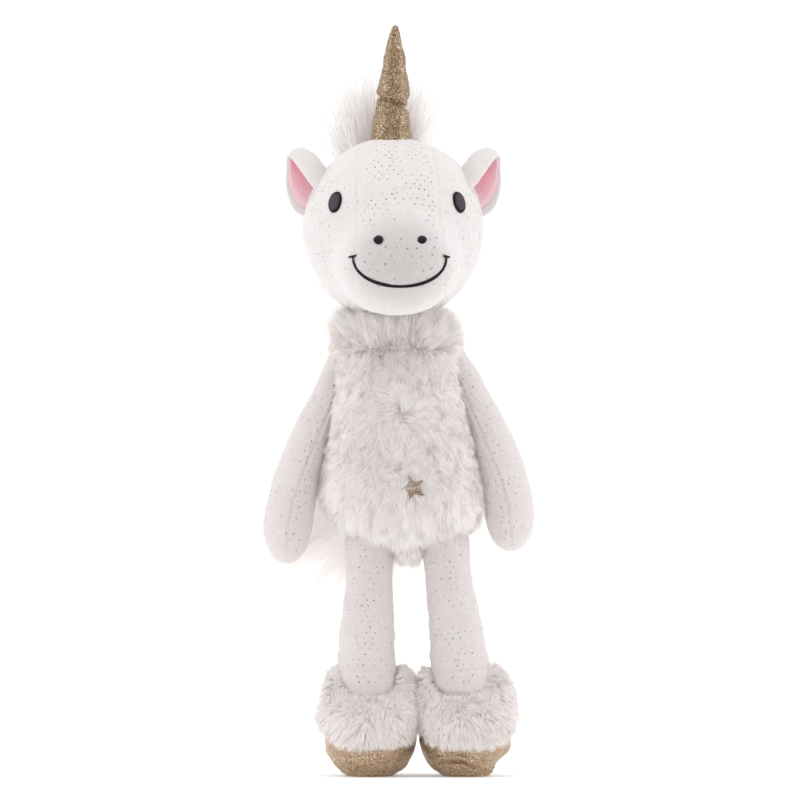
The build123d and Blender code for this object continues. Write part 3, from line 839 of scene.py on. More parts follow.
def ear(side, sign):
    """A leaf folded along its upper edge, white outside and pink inside, open outwards and forwards."""
    # points from the head's middle, in mm: outwards, forwards (negative), up; from the base to the tip
    reach = HEAD_RADIUS / 54.0
    steps = [0.0, 0.18, 0.40, 0.72, 1.0]
    flap = [(45.5, -17.5, 21.0), (48.5, -16.0, 24.5), (52.5, -13.5, 29.5), (58.5, -9.0, 38.0),
            (63.0, -4.0, 43.2)]
    fold = [(39.0, -2.0, 33.5), (42.5, -3.5, 38.5), (47.5, -5.0, 44.0), (55.0, -5.0, 47.6), (62.0, -4.0, 45.0)]
    edge = [(50.3, 0.5, 13.0), (53.6, 2.0, 7.0), (60.0, 3.0, 11.5), (64.4, 2.5, 27.5), (64.2, -1.0, 42.0)]
    rows, cols = 44, 48
    t = np.linspace(0, 1, cols)

    def line(points):
        return np.stack([curve_through(t, steps, along) for along in zip(*points)], axis=-1) * reach

    front, top, outer = line(flap), line(fold), line(edge)
    bend = 0.36
    s = np.linspace(0, 1, rows)[:, None, None]
    a = np.clip(s / bend, 0, 1)
    b = np.clip((s - bend) / (1 - bend), 0, 1)
    p = np.where(s < bend, front * (1 - a) + top * a, top * (1 - b) + outer * b)
    slack = (1 - 0.75 * t**2)[None, :, None]
    p = p + np.array([0.4, -2.6, 0.6]) * np.sin(a * math.pi) * slack * (s < bend)
    p = p + np.array([-1.6, 4.6, 0.4]) * np.sin(b * math.pi) ** 0.8 * slack * (s >= bend)
    for _ in range(6):  # rounds the fold
        p[1:-1] = (p[:-2] + 2 * p[1:-1] + p[2:]) / 4
    p = p + 0.4 * noise_vector(p.reshape(-1, 3), 7, 61).reshape(p.shape)
    p[..., 0] *= sign
    world = p + HEAD_CENTRE
    n = vertex_normals(world.reshape(-1, 3), grid_faces(rows, cols, closed=False)).reshape(world.shape)
    hollow = np.array([0.4 * sign, -1.0, -0.2])  # the way the pink side looks in the middle of the leaf
    pink = n if n[30, cols // 2] @ hollow > 0 else -n
    # cloth rounded off along all its edges
    u = np.linspace(-1, 1, rows)[:, None]
    v = np.linspace(-1, 1, cols)[None]
    puff = np.sqrt(np.clip(1 - u**10, 0.03, 1)) * np.sqrt(np.clip(1 - np.maximum(v, 0) ** 10, 0.03, 1))
    half = (1.25 * puff)[..., None]
    co, faces = shell(rows, world - pink * half, pink, 0)
    count = rows * cols
    co[count:] = (world + pink * half * 0.7).reshape(-1, 3)
    # painted light: the ear's white side wears the lighter head velour
    back = make_piece(f"{side}_ear_velour", co, faces, HEAD_VELOUR)
    inner = (world + pink * (half * 0.7 + 0.05))[2:-3, :-3]
    rows, cols = inner.shape[:2]
    thin = smoothstep(1.0, 0.85, np.abs(np.linspace(-1, 1, rows)))[:, None]
    lift = (0.75 * puff[2:-3, :-3] * thin)[..., None]
    co, faces = shell(rows, inner, pink[2:-3, :-3], 0)
    co[rows * cols:] = (inner + pink[2:-3, :-3] * lift).reshape(-1, 3)
    across, along = np.meshgrid(np.linspace(0.02, 0.98, rows), np.linspace(0.02, 0.98, cols), indexing="ij")
    uv = np.stack([across, along], axis=-1).reshape(-1, 2)
    lining = make_piece(f"{side}_ear_lining_velour", co, faces, PINK, uv=np.concatenate([uv, uv]))
    for piece, node, slot in ((back, "ear_back", "white_velour"), (lining, "ear_lining", "pink_velour")):
        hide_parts(f"{side}_{node}")
        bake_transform(piece)


# ---------------------------------------------------------------- mane


def on_skull(across, over):
    """A point and normal of the head by angles: across from its middle line, over from the forehead back."""
    way = np.stack([np.sin(across), -np.cos(across) * np.cos(over), np.cos(across) * np.sin(over)], axis=-1)
    p = along_ray(np.zeros(3), way, *SKIN_RANGE)
    return p, head_normal(p)


def mane():
    """Long pile from a tape that runs from behind the horn to the nape."""
    rng = np.random.default_rng(71)
    low, high = corners("mane_tape")
    tape_half = (high[0] - low[0]) / 2 / HEAD_RADIUS
    # the tape: two edges of a strip over the skull
    rows = 90
    over = np.linspace(math.radians(104), math.radians(208), rows)
    strip = []
    for edge in np.linspace(-tape_half, tape_half, 9):
        p, n = on_skull(np.full(rows, edge - 0.05), over)
        strip.append(to_world(p) + turn_only(n) * (1.0 - 0.5 * (edge / tape_half) ** 2))
    strip = np.stack(strip, axis=1)
    flat_n = vertex_normals(strip.reshape(-1, 3), grid_faces(rows, 9, closed=False)).reshape(strip.shape)
    flat_n = flat_n if np.sum(flat_n[0, 4] * (strip[0, 4] - HEAD_CENTRE)) > 0 else -flat_n
    co, faces = shell(rows, strip, flat_n, 1.2)
    tape = make_piece("mane_backing_tape", co, faces, WHITE_THREAD)
    settle(tape, "head", "woven_tape", "mane_tape")

    def lock(name, count, across, over, way, length, **how):
        """Pile from a patch of skull, combed towards way (in the row's frame)."""
        a = rng.uniform(*across, count)
        o = rng.uniform(*over, count)
        p, n = on_skull(a, o)
        p, n = to_world(p), turn_only(n)
        comb = unit(np.array(way, float) + 0.35 * noise_vector(p, 14, how.pop("seed", 5)))
        if isinstance(length, tuple):  # mostly short, with long wisps among them
            length = length[0] + (length[1] - length[0]) * rng.random(count) ** 1.5
        return grow(name, "head", p, n, comb, length, 0.24, rng, LONG_FUR, segments=5, **how)

    first = lock("mane_crest_pile", 9500, (-0.30, 0.22), (1.95, 3.45), (-0.10, 0.5, -0.45), 24,
                 lean=(0.1, 0.7), gather=0.5, curl=1.6, per_clump=40, fall=0.3, stray=0.2)
    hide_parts("mane_crest")
    second = lock("forelock_pile", 6500, (-0.46, 0.27), (1.80, 2.35), (-0.20, -0.02, 0.75), (20, 56),
                  lean=(0.05, 0.58), gather=0.6, curl=2.8, per_clump=30, clump_spread=0.95, seed=8, stray=0.27)
    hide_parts("forelock")
    third = lock("nape_lock_pile", 5000, (-0.58, -0.22), (3.3, 3.75), (-0.34, 0.1, -0.7), (12, 27),
                 lean=(0.2, 0.8), gather=0.6, curl=1.8, per_clump=36, fall=0.3, seed=9, stray=0.22)


# ---------------------------------------------------------------- body

BODY_LOW, BODY_HIGH = corners("body_front_panel", "body_back_panel")
BODY_LEVELS = [0, 2, 6, 14, 40, 70, 97, 106, 110, 111]
BODY_HALF_X = [20, 33, 39.5, 42, 37, 32.5, 30, 27, 21, 14]
BODY_HALF_Y = [18, 30, 36.5, 39, 34, 29, 25, 22, 17, 12]
BODY_MIDDLE = [4.0, 4.0, 3.5, 2.5, 1.5, 0.0, -1.0, -1.5, -2.0, -2.0]


def body_surface(rows=110, cols=160):
    level = np.linspace(0, 1, rows) * (BODY_HIGH[2] - BODY_LOW[2])
    level = np.concatenate([[0.0, 0.4, 1.0], level[2:]])
    rows = len(level)
    hh, tt = spun(level, cols)
    ax = profile(hh, BODY_LEVELS, BODY_HALF_X)
    ay = profile(hh, BODY_LEVELS, BODY_HALF_Y)
    mid = profile(hh, BODY_LEVELS, BODY_MIDDLE)
    co = np.stack([mid + ax * np.cos(tt), ay * np.sin(tt), BODY_LOW[2] + hh], axis=-1)
    return rows, cols, co


def body():
    rows, cols, co = body_surface()
    flat = co.reshape(-1, 3)
    faces = grid_faces(rows, cols)
    n = outward_normals(flat, faces, rows // 2 * cols)
    lumps = 0.7 * layered(flat, 16, 3, 81)
    lumpy = (flat + n * (lumps[:, None] - 0.4)).reshape(co.shape)
    skin = make_piece("body_pile_backing", close_ends(lumpy), capped(rows, cols), UNDERCOAT)
    settle(skin, "torso", "white_fur",
           "body_front_panel", "body_back_panel", "body_filling", "seat_pellet_bag", fill=0.8)
    star_at = middle("belly_patch")
    for half, front, parts, seed in (("front", True, 4, 91), ("back", False, 3, 98)):
        for part in range(parts):
            rng = np.random.default_rng(seed + part)
            p, m = scatter(flat, faces, n, 38000, rng, lambda centre: (centre[:, 1] < 0) == front)
            comb = body_comb(p, m)
            height = p[:, 2] - BODY_LOW[2]
            hem = smoothstep(16, 3, height)
            collar = smoothstep(96, 108, height)
            shoulder = smoothstep(80, 104, height) * smoothstep(0.3, 0.8, np.abs(m[:, 0]))
            apron = hem * bump_at(p[:, 0], middle("crotch_gusset")[0], 22) * front
            length = 11.5 + 1.8 * noise(p, 18, 83) + 4.5 * hem + 8.5 * collar
            length = length - 1.0 * shoulder * (1 - collar) + 5.0 * apron
            lean = (0.25 + 0.45 * hem + 0.2 * collar, 0.82 + 0.14 * hem - 0.1 * collar)
            # the star sits in a hollow of the pile
            aside = (p - star_at) * np.array([1, 0, 1])
            near_star = bump_at(np.linalg.norm(aside, axis=1), 0, 7.5) * (p[:, 1] < 0)
            length = length * (1 - 0.30 * near_star)
            grow(f"body_{half}_pile_{part + 1}", "torso", p, m, comb, length, 0.25, rng, FUR, segments=3,
                 lean=lean, per_clump=30, gather=0.6, curl=0.6, stray=0.20, clump_spread=0.5)


def body_comb(p, n):
    """The way the body's pile lies: down and outwards, ruffled, and up at the collar."""
    height = p[:, 2] - BODY_LOW[2]
    hem = smoothstep(16, 3, height)[:, None]
    collar = smoothstep(96, 108, height)[:, None]
    shoulder = smoothstep(82, 104, height)[:, None]
    ruffle = noise_vector(p, 17, 185) * 0.36 + noise_vector(p, 6, 87) * 0.62
    upward = np.array([0, 0, 1.1]) + n * np.array([1.15, 0.5, 0.3])
    way = np.array([0, 0, -1.0]) * (1 - 0.5 * shoulder) * (1 - collar) + upward * collar
    way = way + n * np.array([0.3, 0.3, 0]) * shoulder * (1 - collar)
    way = way + ruffle * (1 - 0.75 * hem) * (1 - 0.4 * shoulder)
    way = way - n * np.sum(way * n, axis=1, keepdims=True) * 0.7 * (1 - hem) * (1 - shoulder)
    # a swirl on the chest
    swirl_at = np.array([1.0, -30.0, BODY_LOW[2] + 62])
    arm = p - swirl_at
    near = np.exp(-np.sum(arm**2, axis=1) / 13.0**2)[:, None]
    spin = unit(np.stack([-arm[:, 2], 0 * arm[:, 0], arm[:, 0]], axis=1)) + unit(arm) * 0.8
    return unit(way * (1 - 0.8 * near) + spin * near * 1.2)


def crotch():
    """Pile that hangs between the legs."""
    low, high = corners("crotch_gusset")
    rng = np.random.default_rng(97)
    rows, cols = 26, 64
    level = np.linspace(0, 1, rows)
    hh, tt = spun(level, cols)
    centre = (low + high) / 2
    half = (high - low) / 2
    round_off = np.sqrt(np.clip(1 - (1 - hh) ** 3.2, 0.02, 1))
    co = np.stack([
        centre[0] + half[0] * round_off * np.cos(tt),
        centre[1] + half[1] * 0.92 * round_off * np.sin(tt),
        low[2] + 5 + (high[2] - low[2] - 5) * hh,
    ], axis=-1)
    flat = co.reshape(-1, 3)
    faces = grid_faces(rows, cols)
    n = outward_normals(flat, faces, rows // 2 * cols)
    skin = make_piece("crotch_pile_backing", close_ends(co), capped(rows, cols), UNDERCOAT)
    settle(skin, "torso", "white_fur", "crotch_gusset", fill=0.5)
    p, m = scatter(flat, faces, n, 12000, rng)
    comb = unit(np.array([0, 0, -1.0]) + 0.55 * noise_vector(p, 8, 99))
    length = 10.0 + 2.0 * noise(p, 7, 98)
    grow("crotch_pile", "torso", p, m, comb, length, 0.27, rng, FUR,
         lean=(0.3, 0.86), per_clump=26, gather=0.45, curl=0.6, stray=0.2)


def belly_star():
    """A small plain five-pointed star of glitter cloth, half sunk in the pile."""
    low, high = corners("belly_patch")
    centre = (low + high) / 2
    front = low[1] - 3.35
    outer, inner, thick, bevel = 8.2, 3.7, 0.9, 0.5
    angle = math.pi / 2 + 0.35 + np.arange(10) * math.pi / 5
    radius = np.where(np.arange(10) % 2 == 0, outer, inner)
    ring = np.stack([centre[0] + radius * np.cos(angle), np.full(10, front),
                     centre[2] + radius * np.sin(angle)], axis=1)
    face = centre + (ring - centre) * [0.8, 1, 0.8]
    face[:, 1] = front - bevel
    rings = np.stack([ring + [0, thick, 0], ring, face])
    piece = make_piece("belly_star_glitter", close_ends(rings), capped(3, 10), GOLD, smooth=False)
    settle(piece, "torso", "gold_glitter", "belly_patch")


def tail():
    low, _ = corners("tail_tuft")
    root = pivot("tail_swing")
    rng = np.random.default_rng(101)
    count = 15000
    spread = rng.uniform(-1, 1, (count, 2))
    p = root + np.stack([spread[:, 0] * 6.5, rng.uniform(2.0, 6.0, count), spread[:, 1] * 4.0 - 1.0], axis=1)
    n = unit(np.stack([spread[:, 0] * 0.8, np.full(count, 0.9), spread[:, 1] * 0.4], axis=1))
    lean = math.atan2(root[0] - low[0], root[2] - low[2]) + 0.07
    way = np.array([-math.sin(lean), 0.03, -math.cos(lean)])
    comb = unit(way + np.stack([spread[:, 0] * 0.34, spread[:, 1] * 0.05, spread[:, 0] * -0.22], axis=1))
    reach = (root[2] - low[2]) / math.cos(lean)
    length = reach * rng.uniform(0.55, 0.96, count) * (1 + 0.12 * spread[:, 0] * -1)
    pile = grow("tail_pile", "tail", p, n, comb, length, 0.30, rng, LONG_FUR, segments=6,
                lean=(0.55, 0.99), per_clump=70, gather=0.8, curl=3.0, stray=0.06, clump_spread=0.17, fall=0.05)
    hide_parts("tail_tuft")
    tab_low, tab_high = corners("tail_tab")
    centre, radius = (tab_low + tab_high) / 2, (tab_high[0] - tab_low[0]) / 2
    rows, cols = 14, 40
    depth = np.linspace(tab_low[1], tab_high[1], rows)
    dd, tt = spun(depth, cols)
    along = (2 * (dd - centre[1]) / (tab_high[1] - tab_low[1])) ** 4
    swell = radius * (1 + 0.10 * np.sin(tt * 9)) * np.sqrt(np.clip(1 - along, 0.2, 1))
    co = np.stack([centre[0] + swell * np.cos(tt), dd, centre[2] + swell * np.sin(tt)], axis=-1)
    tab = make_piece("tail_root_binding", close_ends(co), capped(rows, cols), WHITE_THREAD)
    settle(tab, "tail", "woven_tape", "tail_tab")


def neck():
    """The gathered cloth neck under the collar of pile, and the thread round it."""
    turn_at = pivot("neck_turn")
    low, _ = corners("neck_filling")
    rows, cols = 30, 96
    level = np.linspace(low[2], turn_at[2] + 4, rows)
    hh, tt = spun(level, cols)
    ring_z = middle("neck_thread")[2] - 0.9
    radius = 15.2 - 1.5 * bump_at(hh, ring_z, 1.5) + 0.5 * np.sin(tt * 22) * bump_at(hh, ring_z, 6)
    co = np.stack([turn_at[0] + radius * np.cos(tt), radius * np.sin(tt), hh], axis=-1)
    piece = make_piece("neck_gathered_velour", close_ends(co), capped(rows, cols), VELOUR)
    settle(piece, "neck", "white_velour", "neck_filling", fill=0.7)
    threads = Threads()
    for twist in (0, math.pi):
        a = np.linspace(0, 2 * math.pi, 160)
        r = 14.3 + 0.35 * np.cos(a * 40 + twist)
        z = ring_z + 0.35 * np.sin(a * 40 + twist)
        threads.add(np.stack([turn_at[0] + r * np.cos(a), r * np.sin(a), z], axis=1), 0.42)
    ring = threads.piece("neck_gathering_thread", WHITE_THREAD)
    settle(ring, "neck", "white_thread", "neck_thread")


# ---------------------------------------------------------------- arms and legs


def tube_along(centre, radius, cols):
    """Rings round a line that runs downwards; returns points and outward directions."""
    tangent = unit(np.gradient(centre, axis=0))
    side = unit(np.cross([0, 1.0, 0], tangent))
    fore = np.cross(tangent, side)
    out = circle(cols, side, fore)
    return centre[:, None] + out * radius[:, None, None], unit(out)


ARM_DOWN = [0, 6, 24, 45, 80, 104, 117, 125, 128.6]
ARM_OUT = [0.4, 1.6, 7.2, 15.6, 27.0, 31.3, 32.2, 32.4, 32.4]
ARM_RADIUS = [5.6, 6.1, 8.0, 10.4, 13.9, 14.9, 13.0, 9.0, 0.6]
ARM_LENGTH = 128.6
ARM_SHIFT = {1: 1.4, -1: 2.0}      # both arms hang a little towards the toy's left
ARM_SHORTER = {1: 4.0, -1: 0.0}


def arm(side, sign):
    joint = pivot(f"{side}_shoulder_swing")
    rows, cols = 170, 120
    # rings are close together where the hand rounds off
    share = np.linspace(0, 1, rows)
    down = ARM_LENGTH * (1 - (1 - share) ** 1.5)
    top = ARM_RADIUS[0]
    dome = np.sqrt(np.clip(1 - ((top - np.linspace(0, top, 14)) / top) ** 2, 0, 1))
    down = np.concatenate([np.linspace(-top, -0.3, 14), down])
    out_x = np.where(down < 0, 0.4, curve_through(down, ARM_DOWN, ARM_OUT)) - 2.2 * smoothstep(24, 4, down)
    radius = np.where(down < 0, 0, curve_through(down, ARM_DOWN, ARM_RADIUS))
    radius[:14] = top * np.maximum(dome, 0.04)
    hand = np.clip((down - 104) / (ARM_LENGTH - 104), 0, 1)
    radius = np.where(down > 104, 14.9 * np.sqrt(np.clip(1 - hand**2.2, 0.0004, 1)), radius)
    shift_x = ARM_SHIFT[sign] * smoothstep(4, 34, down)
    drop = down * (1 - ARM_SHORTER[sign] / ARM_LENGTH * (down > 0))
    centre = joint + np.stack([sign * out_x + shift_x, np.zeros_like(down), -drop], axis=1)
    co, out = tube_along(centre, radius, cols)
    flat, outward = co.reshape(-1, 3), out.reshape(-1, 3)
    # the seam runs down the front, a little towards the body
    angle = np.arctan2(outward[:, 0] * sign, -outward[:, 1])
    along = np.repeat(down, cols)
    seam_at = np.radians(-38 + 36 * smoothstep(10, 110, along))
    arc = (angle - seam_at) * np.repeat(np.maximum(radius, 1), cols)
    far = np.abs(angle - seam_at) < 1.5
    seam = bump_at(arc, 0, 0.8) * far * smoothstep(-2, 6, along)
    pull = noise(np.stack([arc * 0.25, along, along * 0], axis=1), 2.0, 111) * bump_at(arc, 0, 4.5) * far
    ridge = bump_at(np.abs(arc), 2.0, 1.1) * far
    shift = 0.5 * layered(flat, 15, 3, 113) - 0.75 * seam + 0.22 * pull + 0.25 * ridge
    rough = (flat + outward * (shift * smoothstep(-7, 4, along))[:, None]).reshape(co.shape)
    piece = make_piece(f"{side}_arm_velour", close_ends(rough), capped(len(down), cols), VELOUR)
    settle(piece, f"{side}_arm", "white_velour",
           f"{side}_arm_inner_panel", f"{side}_arm_outer_panel", f"{side}_arm_filling", fill=0.8)
    foil_on_tube(f"{side}_arm_foil_dots", f"{side}_arm", rough, out, down, radius, sign,
                 seed=121, span=(14, 122), favour=-0.25)
    gather_ball(side, joint)


def foil_on_tube(name, body, co, out, down, radius, sign, seed, span, favour):
    """Staggered rows of foil dots round a limb, plainest where the limb faces forward: painted reflection makes
    the dots there dark, as foil mirroring the dark surroundings in front; elsewhere they are few and pale.
    """
    rng = np.random.default_rng(seed)
    rows = np.arange(span[0], span[1], FOIL_PITCH * FOIL_ROW)
    cols = co.shape[1]
    points, normals, kinds = [], [], []
    for i, level in enumerate(rows):
        row = int(np.clip(np.searchsorted(down, level), 0, len(down) - 1))
        girth = 2 * math.pi * radius[row]
        number = max(3, int(girth / FOIL_PITCH))
        for k in range(number):
            a = (k + 0.5 * (i % 2)) / number * cols + rng.normal(0, 0.8)
            col = int(a) % cols
            # painted reflection: dots facing forward get the dark and mid foils, for foil that mirrors the dark
            # surroundings in front
            n = out[row, col]
            facing = -n[1]
            chance = rng.random()
            inner = math.exp(-(((n[0] * sign - favour) / 0.42) ** 2))
            if facing > 0.05 and chance < 0.16 + 0.62 * inner:
                kind = 0 if chance < 0.30 * inner else 1
            elif chance > 0.45:
                kind = 2
            else:
                continue
            points.append(co[row, col])
            normals.append(n)
            kinds.append(kind)
    foil_dots(name, body, np.array(points), np.array(normals), np.array(kinds), rng, size=0.40)


def gather_ball(side, joint):
    """The pleated root of the arm."""
    low, high = corners(f"{side}_shoulder_gather")
    radius = (high[2] - low[2]) / 2
    rows, cols = 24, 72
    polar = np.linspace(0.05, math.pi - 0.05, rows)
    pp, tt = spun(polar, cols)
    r = radius * (1 + 0.03 * np.sin(tt * 14) * np.sin(pp))
    co = joint + np.stack([r * np.cos(pp), r * np.sin(pp) * np.cos(tt), r * np.sin(pp) * np.sin(tt)], axis=-1)
    piece = make_piece(f"{side}_shoulder_pleats", close_ends(co), capped(rows, cols), VELOUR)
    settle(piece, f"{side}_shoulder", "white_velour", f"{side}_shoulder_gather", fill=0.6)


LEG_TOP = 14.5  # radius of the leg's round top
LEG_DOWN = [-LEG_TOP, 0, 8, 22, 40, 62, 80, 100]
LEG_RADIUS = [0.5, 14.4, 14.1, 13.9, 15.4, 17.2, 17.9, 17.4]


def leg(side, sign):
    joint = pivot(f"{side}_hip_swing")
    foot = middle(f"{side}_hoof_upper")
    lean = (foot[0] - joint[0]) * 0.78
    rows, cols = 150, 120
    dome = -LEG_TOP * np.cos(np.linspace(0.03, math.pi / 2, 16))
    down = np.concatenate([dome[:-1], np.linspace(0, 98, rows)])
    rounded = np.sqrt(np.clip(LEG_TOP**2 - down**2, 0.2, None))
    radius = np.where(down < 0, rounded, curve_through(down, LEG_DOWN, LEG_RADIUS))
    below = np.clip(down, 0, None)
    shift_x = lean * below**2 / (below + 8) / 86.6 + 1.7 * sign * smoothstep(20, 60, down)
    centre = joint + np.stack([shift_x, np.zeros_like(down) - 1.5 * smoothstep(40, 98, down), -down], axis=1)
    co, out = tube_along(centre, radius, cols)
    flat, outward = co.reshape(-1, 3), out.reshape(-1, 3)
    along = np.repeat(down, cols)
    stretched = flat * np.array([0.35, 0.35, 1.0])
    wrinkle = layered(stretched, 6.5, 3, 133) * smoothstep(20, 60, along)
    shift = 0.45 * layered(flat, 18, 3, 131) + 0.55 * wrinkle
    ends = smoothstep(-14, 2, along)
    angle = np.arctan2(outward[:, 1], outward[:, 0] * sign)
    arc = angle * np.repeat(np.maximum(radius, 1), cols)
    seam = bump_at(arc, 0, 0.8)
    tuck = bump_at(along, 76, 1.4) * smoothstep(-0.2, -0.7, outward[:, 1])
    rough = (flat + outward * ((shift - 0.6 * seam - 0.8 * tuck) * ends)[:, None]).reshape(co.shape)
    piece = make_piece(f"{side}_leg_velour", close_ends(rough), capped(len(down), cols), VELOUR)
    settle(piece, f"{side}_leg", "white_velour",
           f"{side}_leg_front_panel", f"{side}_leg_back_panel", f"{side}_leg_filling", fill=0.8)
    foil_on_tube(f"{side}_leg_foil_dots", f"{side}_leg", rough, out, down, radius, sign,
                 seed=141 + sign, span=(-4, 84), favour=0.0)
    hip_cap(side, joint)


def hip_cap(side, joint):
    """The pleated cap between body and leg."""
    low, high = corners(f"{side}_hip_gather")
    half = (high[0] - low[0]) / 2
    outer, inner = high[2] - joint[2], LEG_TOP + 0.4
    rows, cols = 12, 48
    polar = np.linspace(0.02, 0.86 * math.asin(half / outer), rows)
    polar = np.concatenate([polar, polar[::-1]])
    shell_r = np.concatenate([np.full(rows, outer), np.full(rows, inner)])
    pp, tt = spun(polar, cols)
    r = shell_r[:, None] - 0.10 * np.abs(np.sin(tt * 9)) * (pp / polar.max())
    co = joint + np.stack([r * np.sin(pp) * np.cos(tt), r * np.sin(pp) * np.sin(tt), r * np.cos(pp)], axis=-1)
    piece = make_piece(f"{side}_hip_pleats", close_ends(co), capped(len(polar), cols), VELOUR)
    settle(piece, f"{side}_hip", "white_velour", f"{side}_hip_gather", fill=0.4)


# ---------------------------------------------------------------- feet


HOOF_LEVEL = [0, 1.2, 4, 9, 16, 24, 34]
HOOF_X = [11.5, 15.5, 19.3, 23.4, 26.6, 27.3, 25.0]
HOOF_Y = [15.5, 20.5, 25.5, 30.4, 33.2, 32.6, 28.5]


def hoof(side, sign):
    centre = middle(f"{side}_hoof_upper")
    rows, cols = 110, 180
    hh, tt = spun(np.linspace(0, HOOF_LEVEL[-1], rows), cols)
    ax = profile(hh, HOOF_LEVEL, HOOF_X)
    ay = profile(hh, HOOF_LEVEL, HOOF_Y)
    co = np.stack([centre[0] + ax * np.cos(tt), centre[1] + ay * np.sin(tt), hh], axis=-1)
    out = unit(np.stack([np.cos(tt) / ax, np.sin(tt) / ay, np.zeros_like(tt)], axis=-1))
    p = co.reshape(-1, 3)
    crumple = 0.9 * layered(p, 14, 3, 151 + 5 * sign).reshape(hh.shape)
    sole_seam = bump_at(hh, 3.0 + 0.9 * np.sin(tt * 3 + sign), 0.7)
    ripple = 0.4 * np.sin(tt * 31 + 2 * np.sin(tt * 5)) * bump_at(hh, 4.5, 3.0)
    shift = crumple * smoothstep(0.5, 6, hh) - 0.9 * sole_seam + ripple
    if sign > 0:
        # a deep slanting fold at the front of this hoof
        across = co[..., 0] - centre[0]
        line = 9.5 - 0.012 * (across + 6) ** 2 - 0.30 * np.maximum(across + 2, 0)
        front = smoothstep(-5, -15, co[..., 1] - centre[1]) * bump_at(across, -3.5, 11)
        shift = shift - 3.2 * bump_at(hh, line, 0.9) * front + 1.9 * bump_at(hh, line + 2.6, 1.9) * front
        # and a dent at its outer end
        shift = shift - 4.2 * smoothstep(0.2, 0.9, np.cos(tt)) * bump_at(hh, 8.0, 5.0)
    co = co + out * shift[..., None]
    co[..., 2] = np.maximum(co[..., 2], 0)
    piece = make_piece(f"{side}_hoof_glitter", close_ends(co), capped(rows, cols), HOOF_GOLD)
    settle(piece, f"{side}_leg", "gold_glitter",
           f"{side}_hoof_upper", f"{side}_foot_filling", f"{side}_hoof_pellets", fill=0.8)
    sole(side, centre)
    cuff(side, sign, centre)


SOLE_EDGE = np.array([(0.90, 0.02), (0.97, 0.0), (1.0, 0.45), (1.01, 1.1), (0.99, 1.8), (0.93, 2.2)])
SOLE_HALF_X, SOLE_HALF_Y = 14.4, 19.6


def sole(side, centre):
    """The flat sole with a turned edge, which is given as shares of the sole's half sizes and heights."""
    cols = 120
    share, tt = spun(SOLE_EDGE[:, 0], cols)
    wave = 1 + 0.006 * np.sin(tt * 28)
    co = np.stack([
        centre[0] + SOLE_HALF_X * share * wave * np.cos(tt),
        centre[1] + SOLE_HALF_Y * share * wave * np.sin(tt),
        np.broadcast_to(SOLE_EDGE[:, 1:], tt.shape),
    ], axis=-1)
    piece = make_piece(f"{side}_hoof_sole_glitter", close_ends(co), capped(len(co), cols), HOOF_GOLD)
    settle(piece, f"{side}_leg", "gold_glitter", f"{side}_hoof_sole")


CUFF_LEVEL = [20, 24, 34, 46, 56, 62]
CUFF_X = [22.3, 23.0, 23.6, 23.0, 20.8, 15.5]
CUFF_Y = [29.8, 30.5, 28.5, 25.0, 20.5, 15.5]
CUFF_MIDDLE = [-12, -12, -10.5, -6.0, -2.5, -1.5]
CUFF_SLIP = [0, 0, 0.02, 0.1, 0.4, 1]  # from the foot's middle to the leg's


def cuff(side, sign, foot):
    """Long pile that springs from the ankle and falls over the hoof."""
    rows, cols = 60, 150
    hh, tt = spun(np.linspace(CUFF_LEVEL[0], CUFF_LEVEL[-1], rows), cols)
    ax = profile(hh, CUFF_LEVEL, CUFF_X)
    ay = profile(hh, CUFF_LEVEL, CUFF_Y)
    mid = profile(hh, CUFF_LEVEL, CUFF_MIDDLE)
    ankle = (pivot(f"{side}_hip_swing")[0] - foot[0]) * 0.36
    mid_x = foot[0] + ankle * profile(hh, CUFF_LEVEL, CUFF_SLIP)
    # the top of the cuff is lower in front, where the leg shows, and its hem hangs lower there
    dip = smoothstep(0.0, 0.75, -np.sin(tt))
    hang = smoothstep(0.1, 1.0, -np.sin(tt))
    z = hh - dip * 16.0 * smoothstep(30, 62, hh) + (1.5 + (1 - hang) * 11.0) * smoothstep(40, 20, hh)
    co = np.stack([mid_x + ax * np.cos(tt), mid + ay * np.sin(tt), z], axis=-1)
    flat = co.reshape(-1, 3)
    faces = grid_faces(rows, cols)
    n = outward_normals(flat, faces, rows // 2 * cols)
    skin = make_piece(f"{side}_cuff_pile_backing", close_ends(co), capped(rows, cols), UNDERCOAT)
    settle(skin, f"{side}_leg", "white_fur", f"{side}_fur_cuff", fill=0.5)
    for part in range(2):
        rng = np.random.default_rng(161 + 3 * part + sign)
        p, m = scatter(flat, faces, n, 27500, rng)
        front = smoothstep(0.0, 1.0, -(p[:, 1] + 4) / 26)
        lift = smoothstep(14, 0, 62 - 16 * front - p[:, 2])[:, None]
        radial = unit((p - np.array([foot[0], -4.0, 0])) * np.array([1, 1, 0]))
        upward = np.stack([0 * front, 0 * front, 0.25 - 0.75 * front], axis=1)
        comb = np.array([0, 0, -1.0]) * (1 - lift) + (radial * 0.8 + upward) * lift
        comb = unit(comb + 0.22 * noise_vector(p, 12, 163) + 0.18 * noise_vector(p, 5, 165))
        length = (11.0 + 1.5 * noise(p, 14, 167)) * (1 - (0.25 + 0.15 * front) * lift[:, 0])
        grow(f"{side}_cuff_pile_{part + 1}", f"{side}_leg", p, m, comb, length, 0.28, rng, FUR,
             lean=(0.10, 0.72), per_clump=24, gather=0.5, curl=0.5, stray=0.16, clump_spread=0.24)


# ---------------------------------------------------------------- the toy

skin = head()
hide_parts("face_gusset", "left_cheek_panel", "right_cheek_panel", "head_back_panel", "head_filling")
head_foil()
mouth()
nostrils()
horn()
mane()
neck()
body()
crotch()
belly_star()
tail()
for side, sign in SIDES:
    eye(side)
    ear(side, sign)
    arm(side, sign)
    leg(side, sign)
    hoof(side, sign)


# ---------------------------------------------------------------- studio


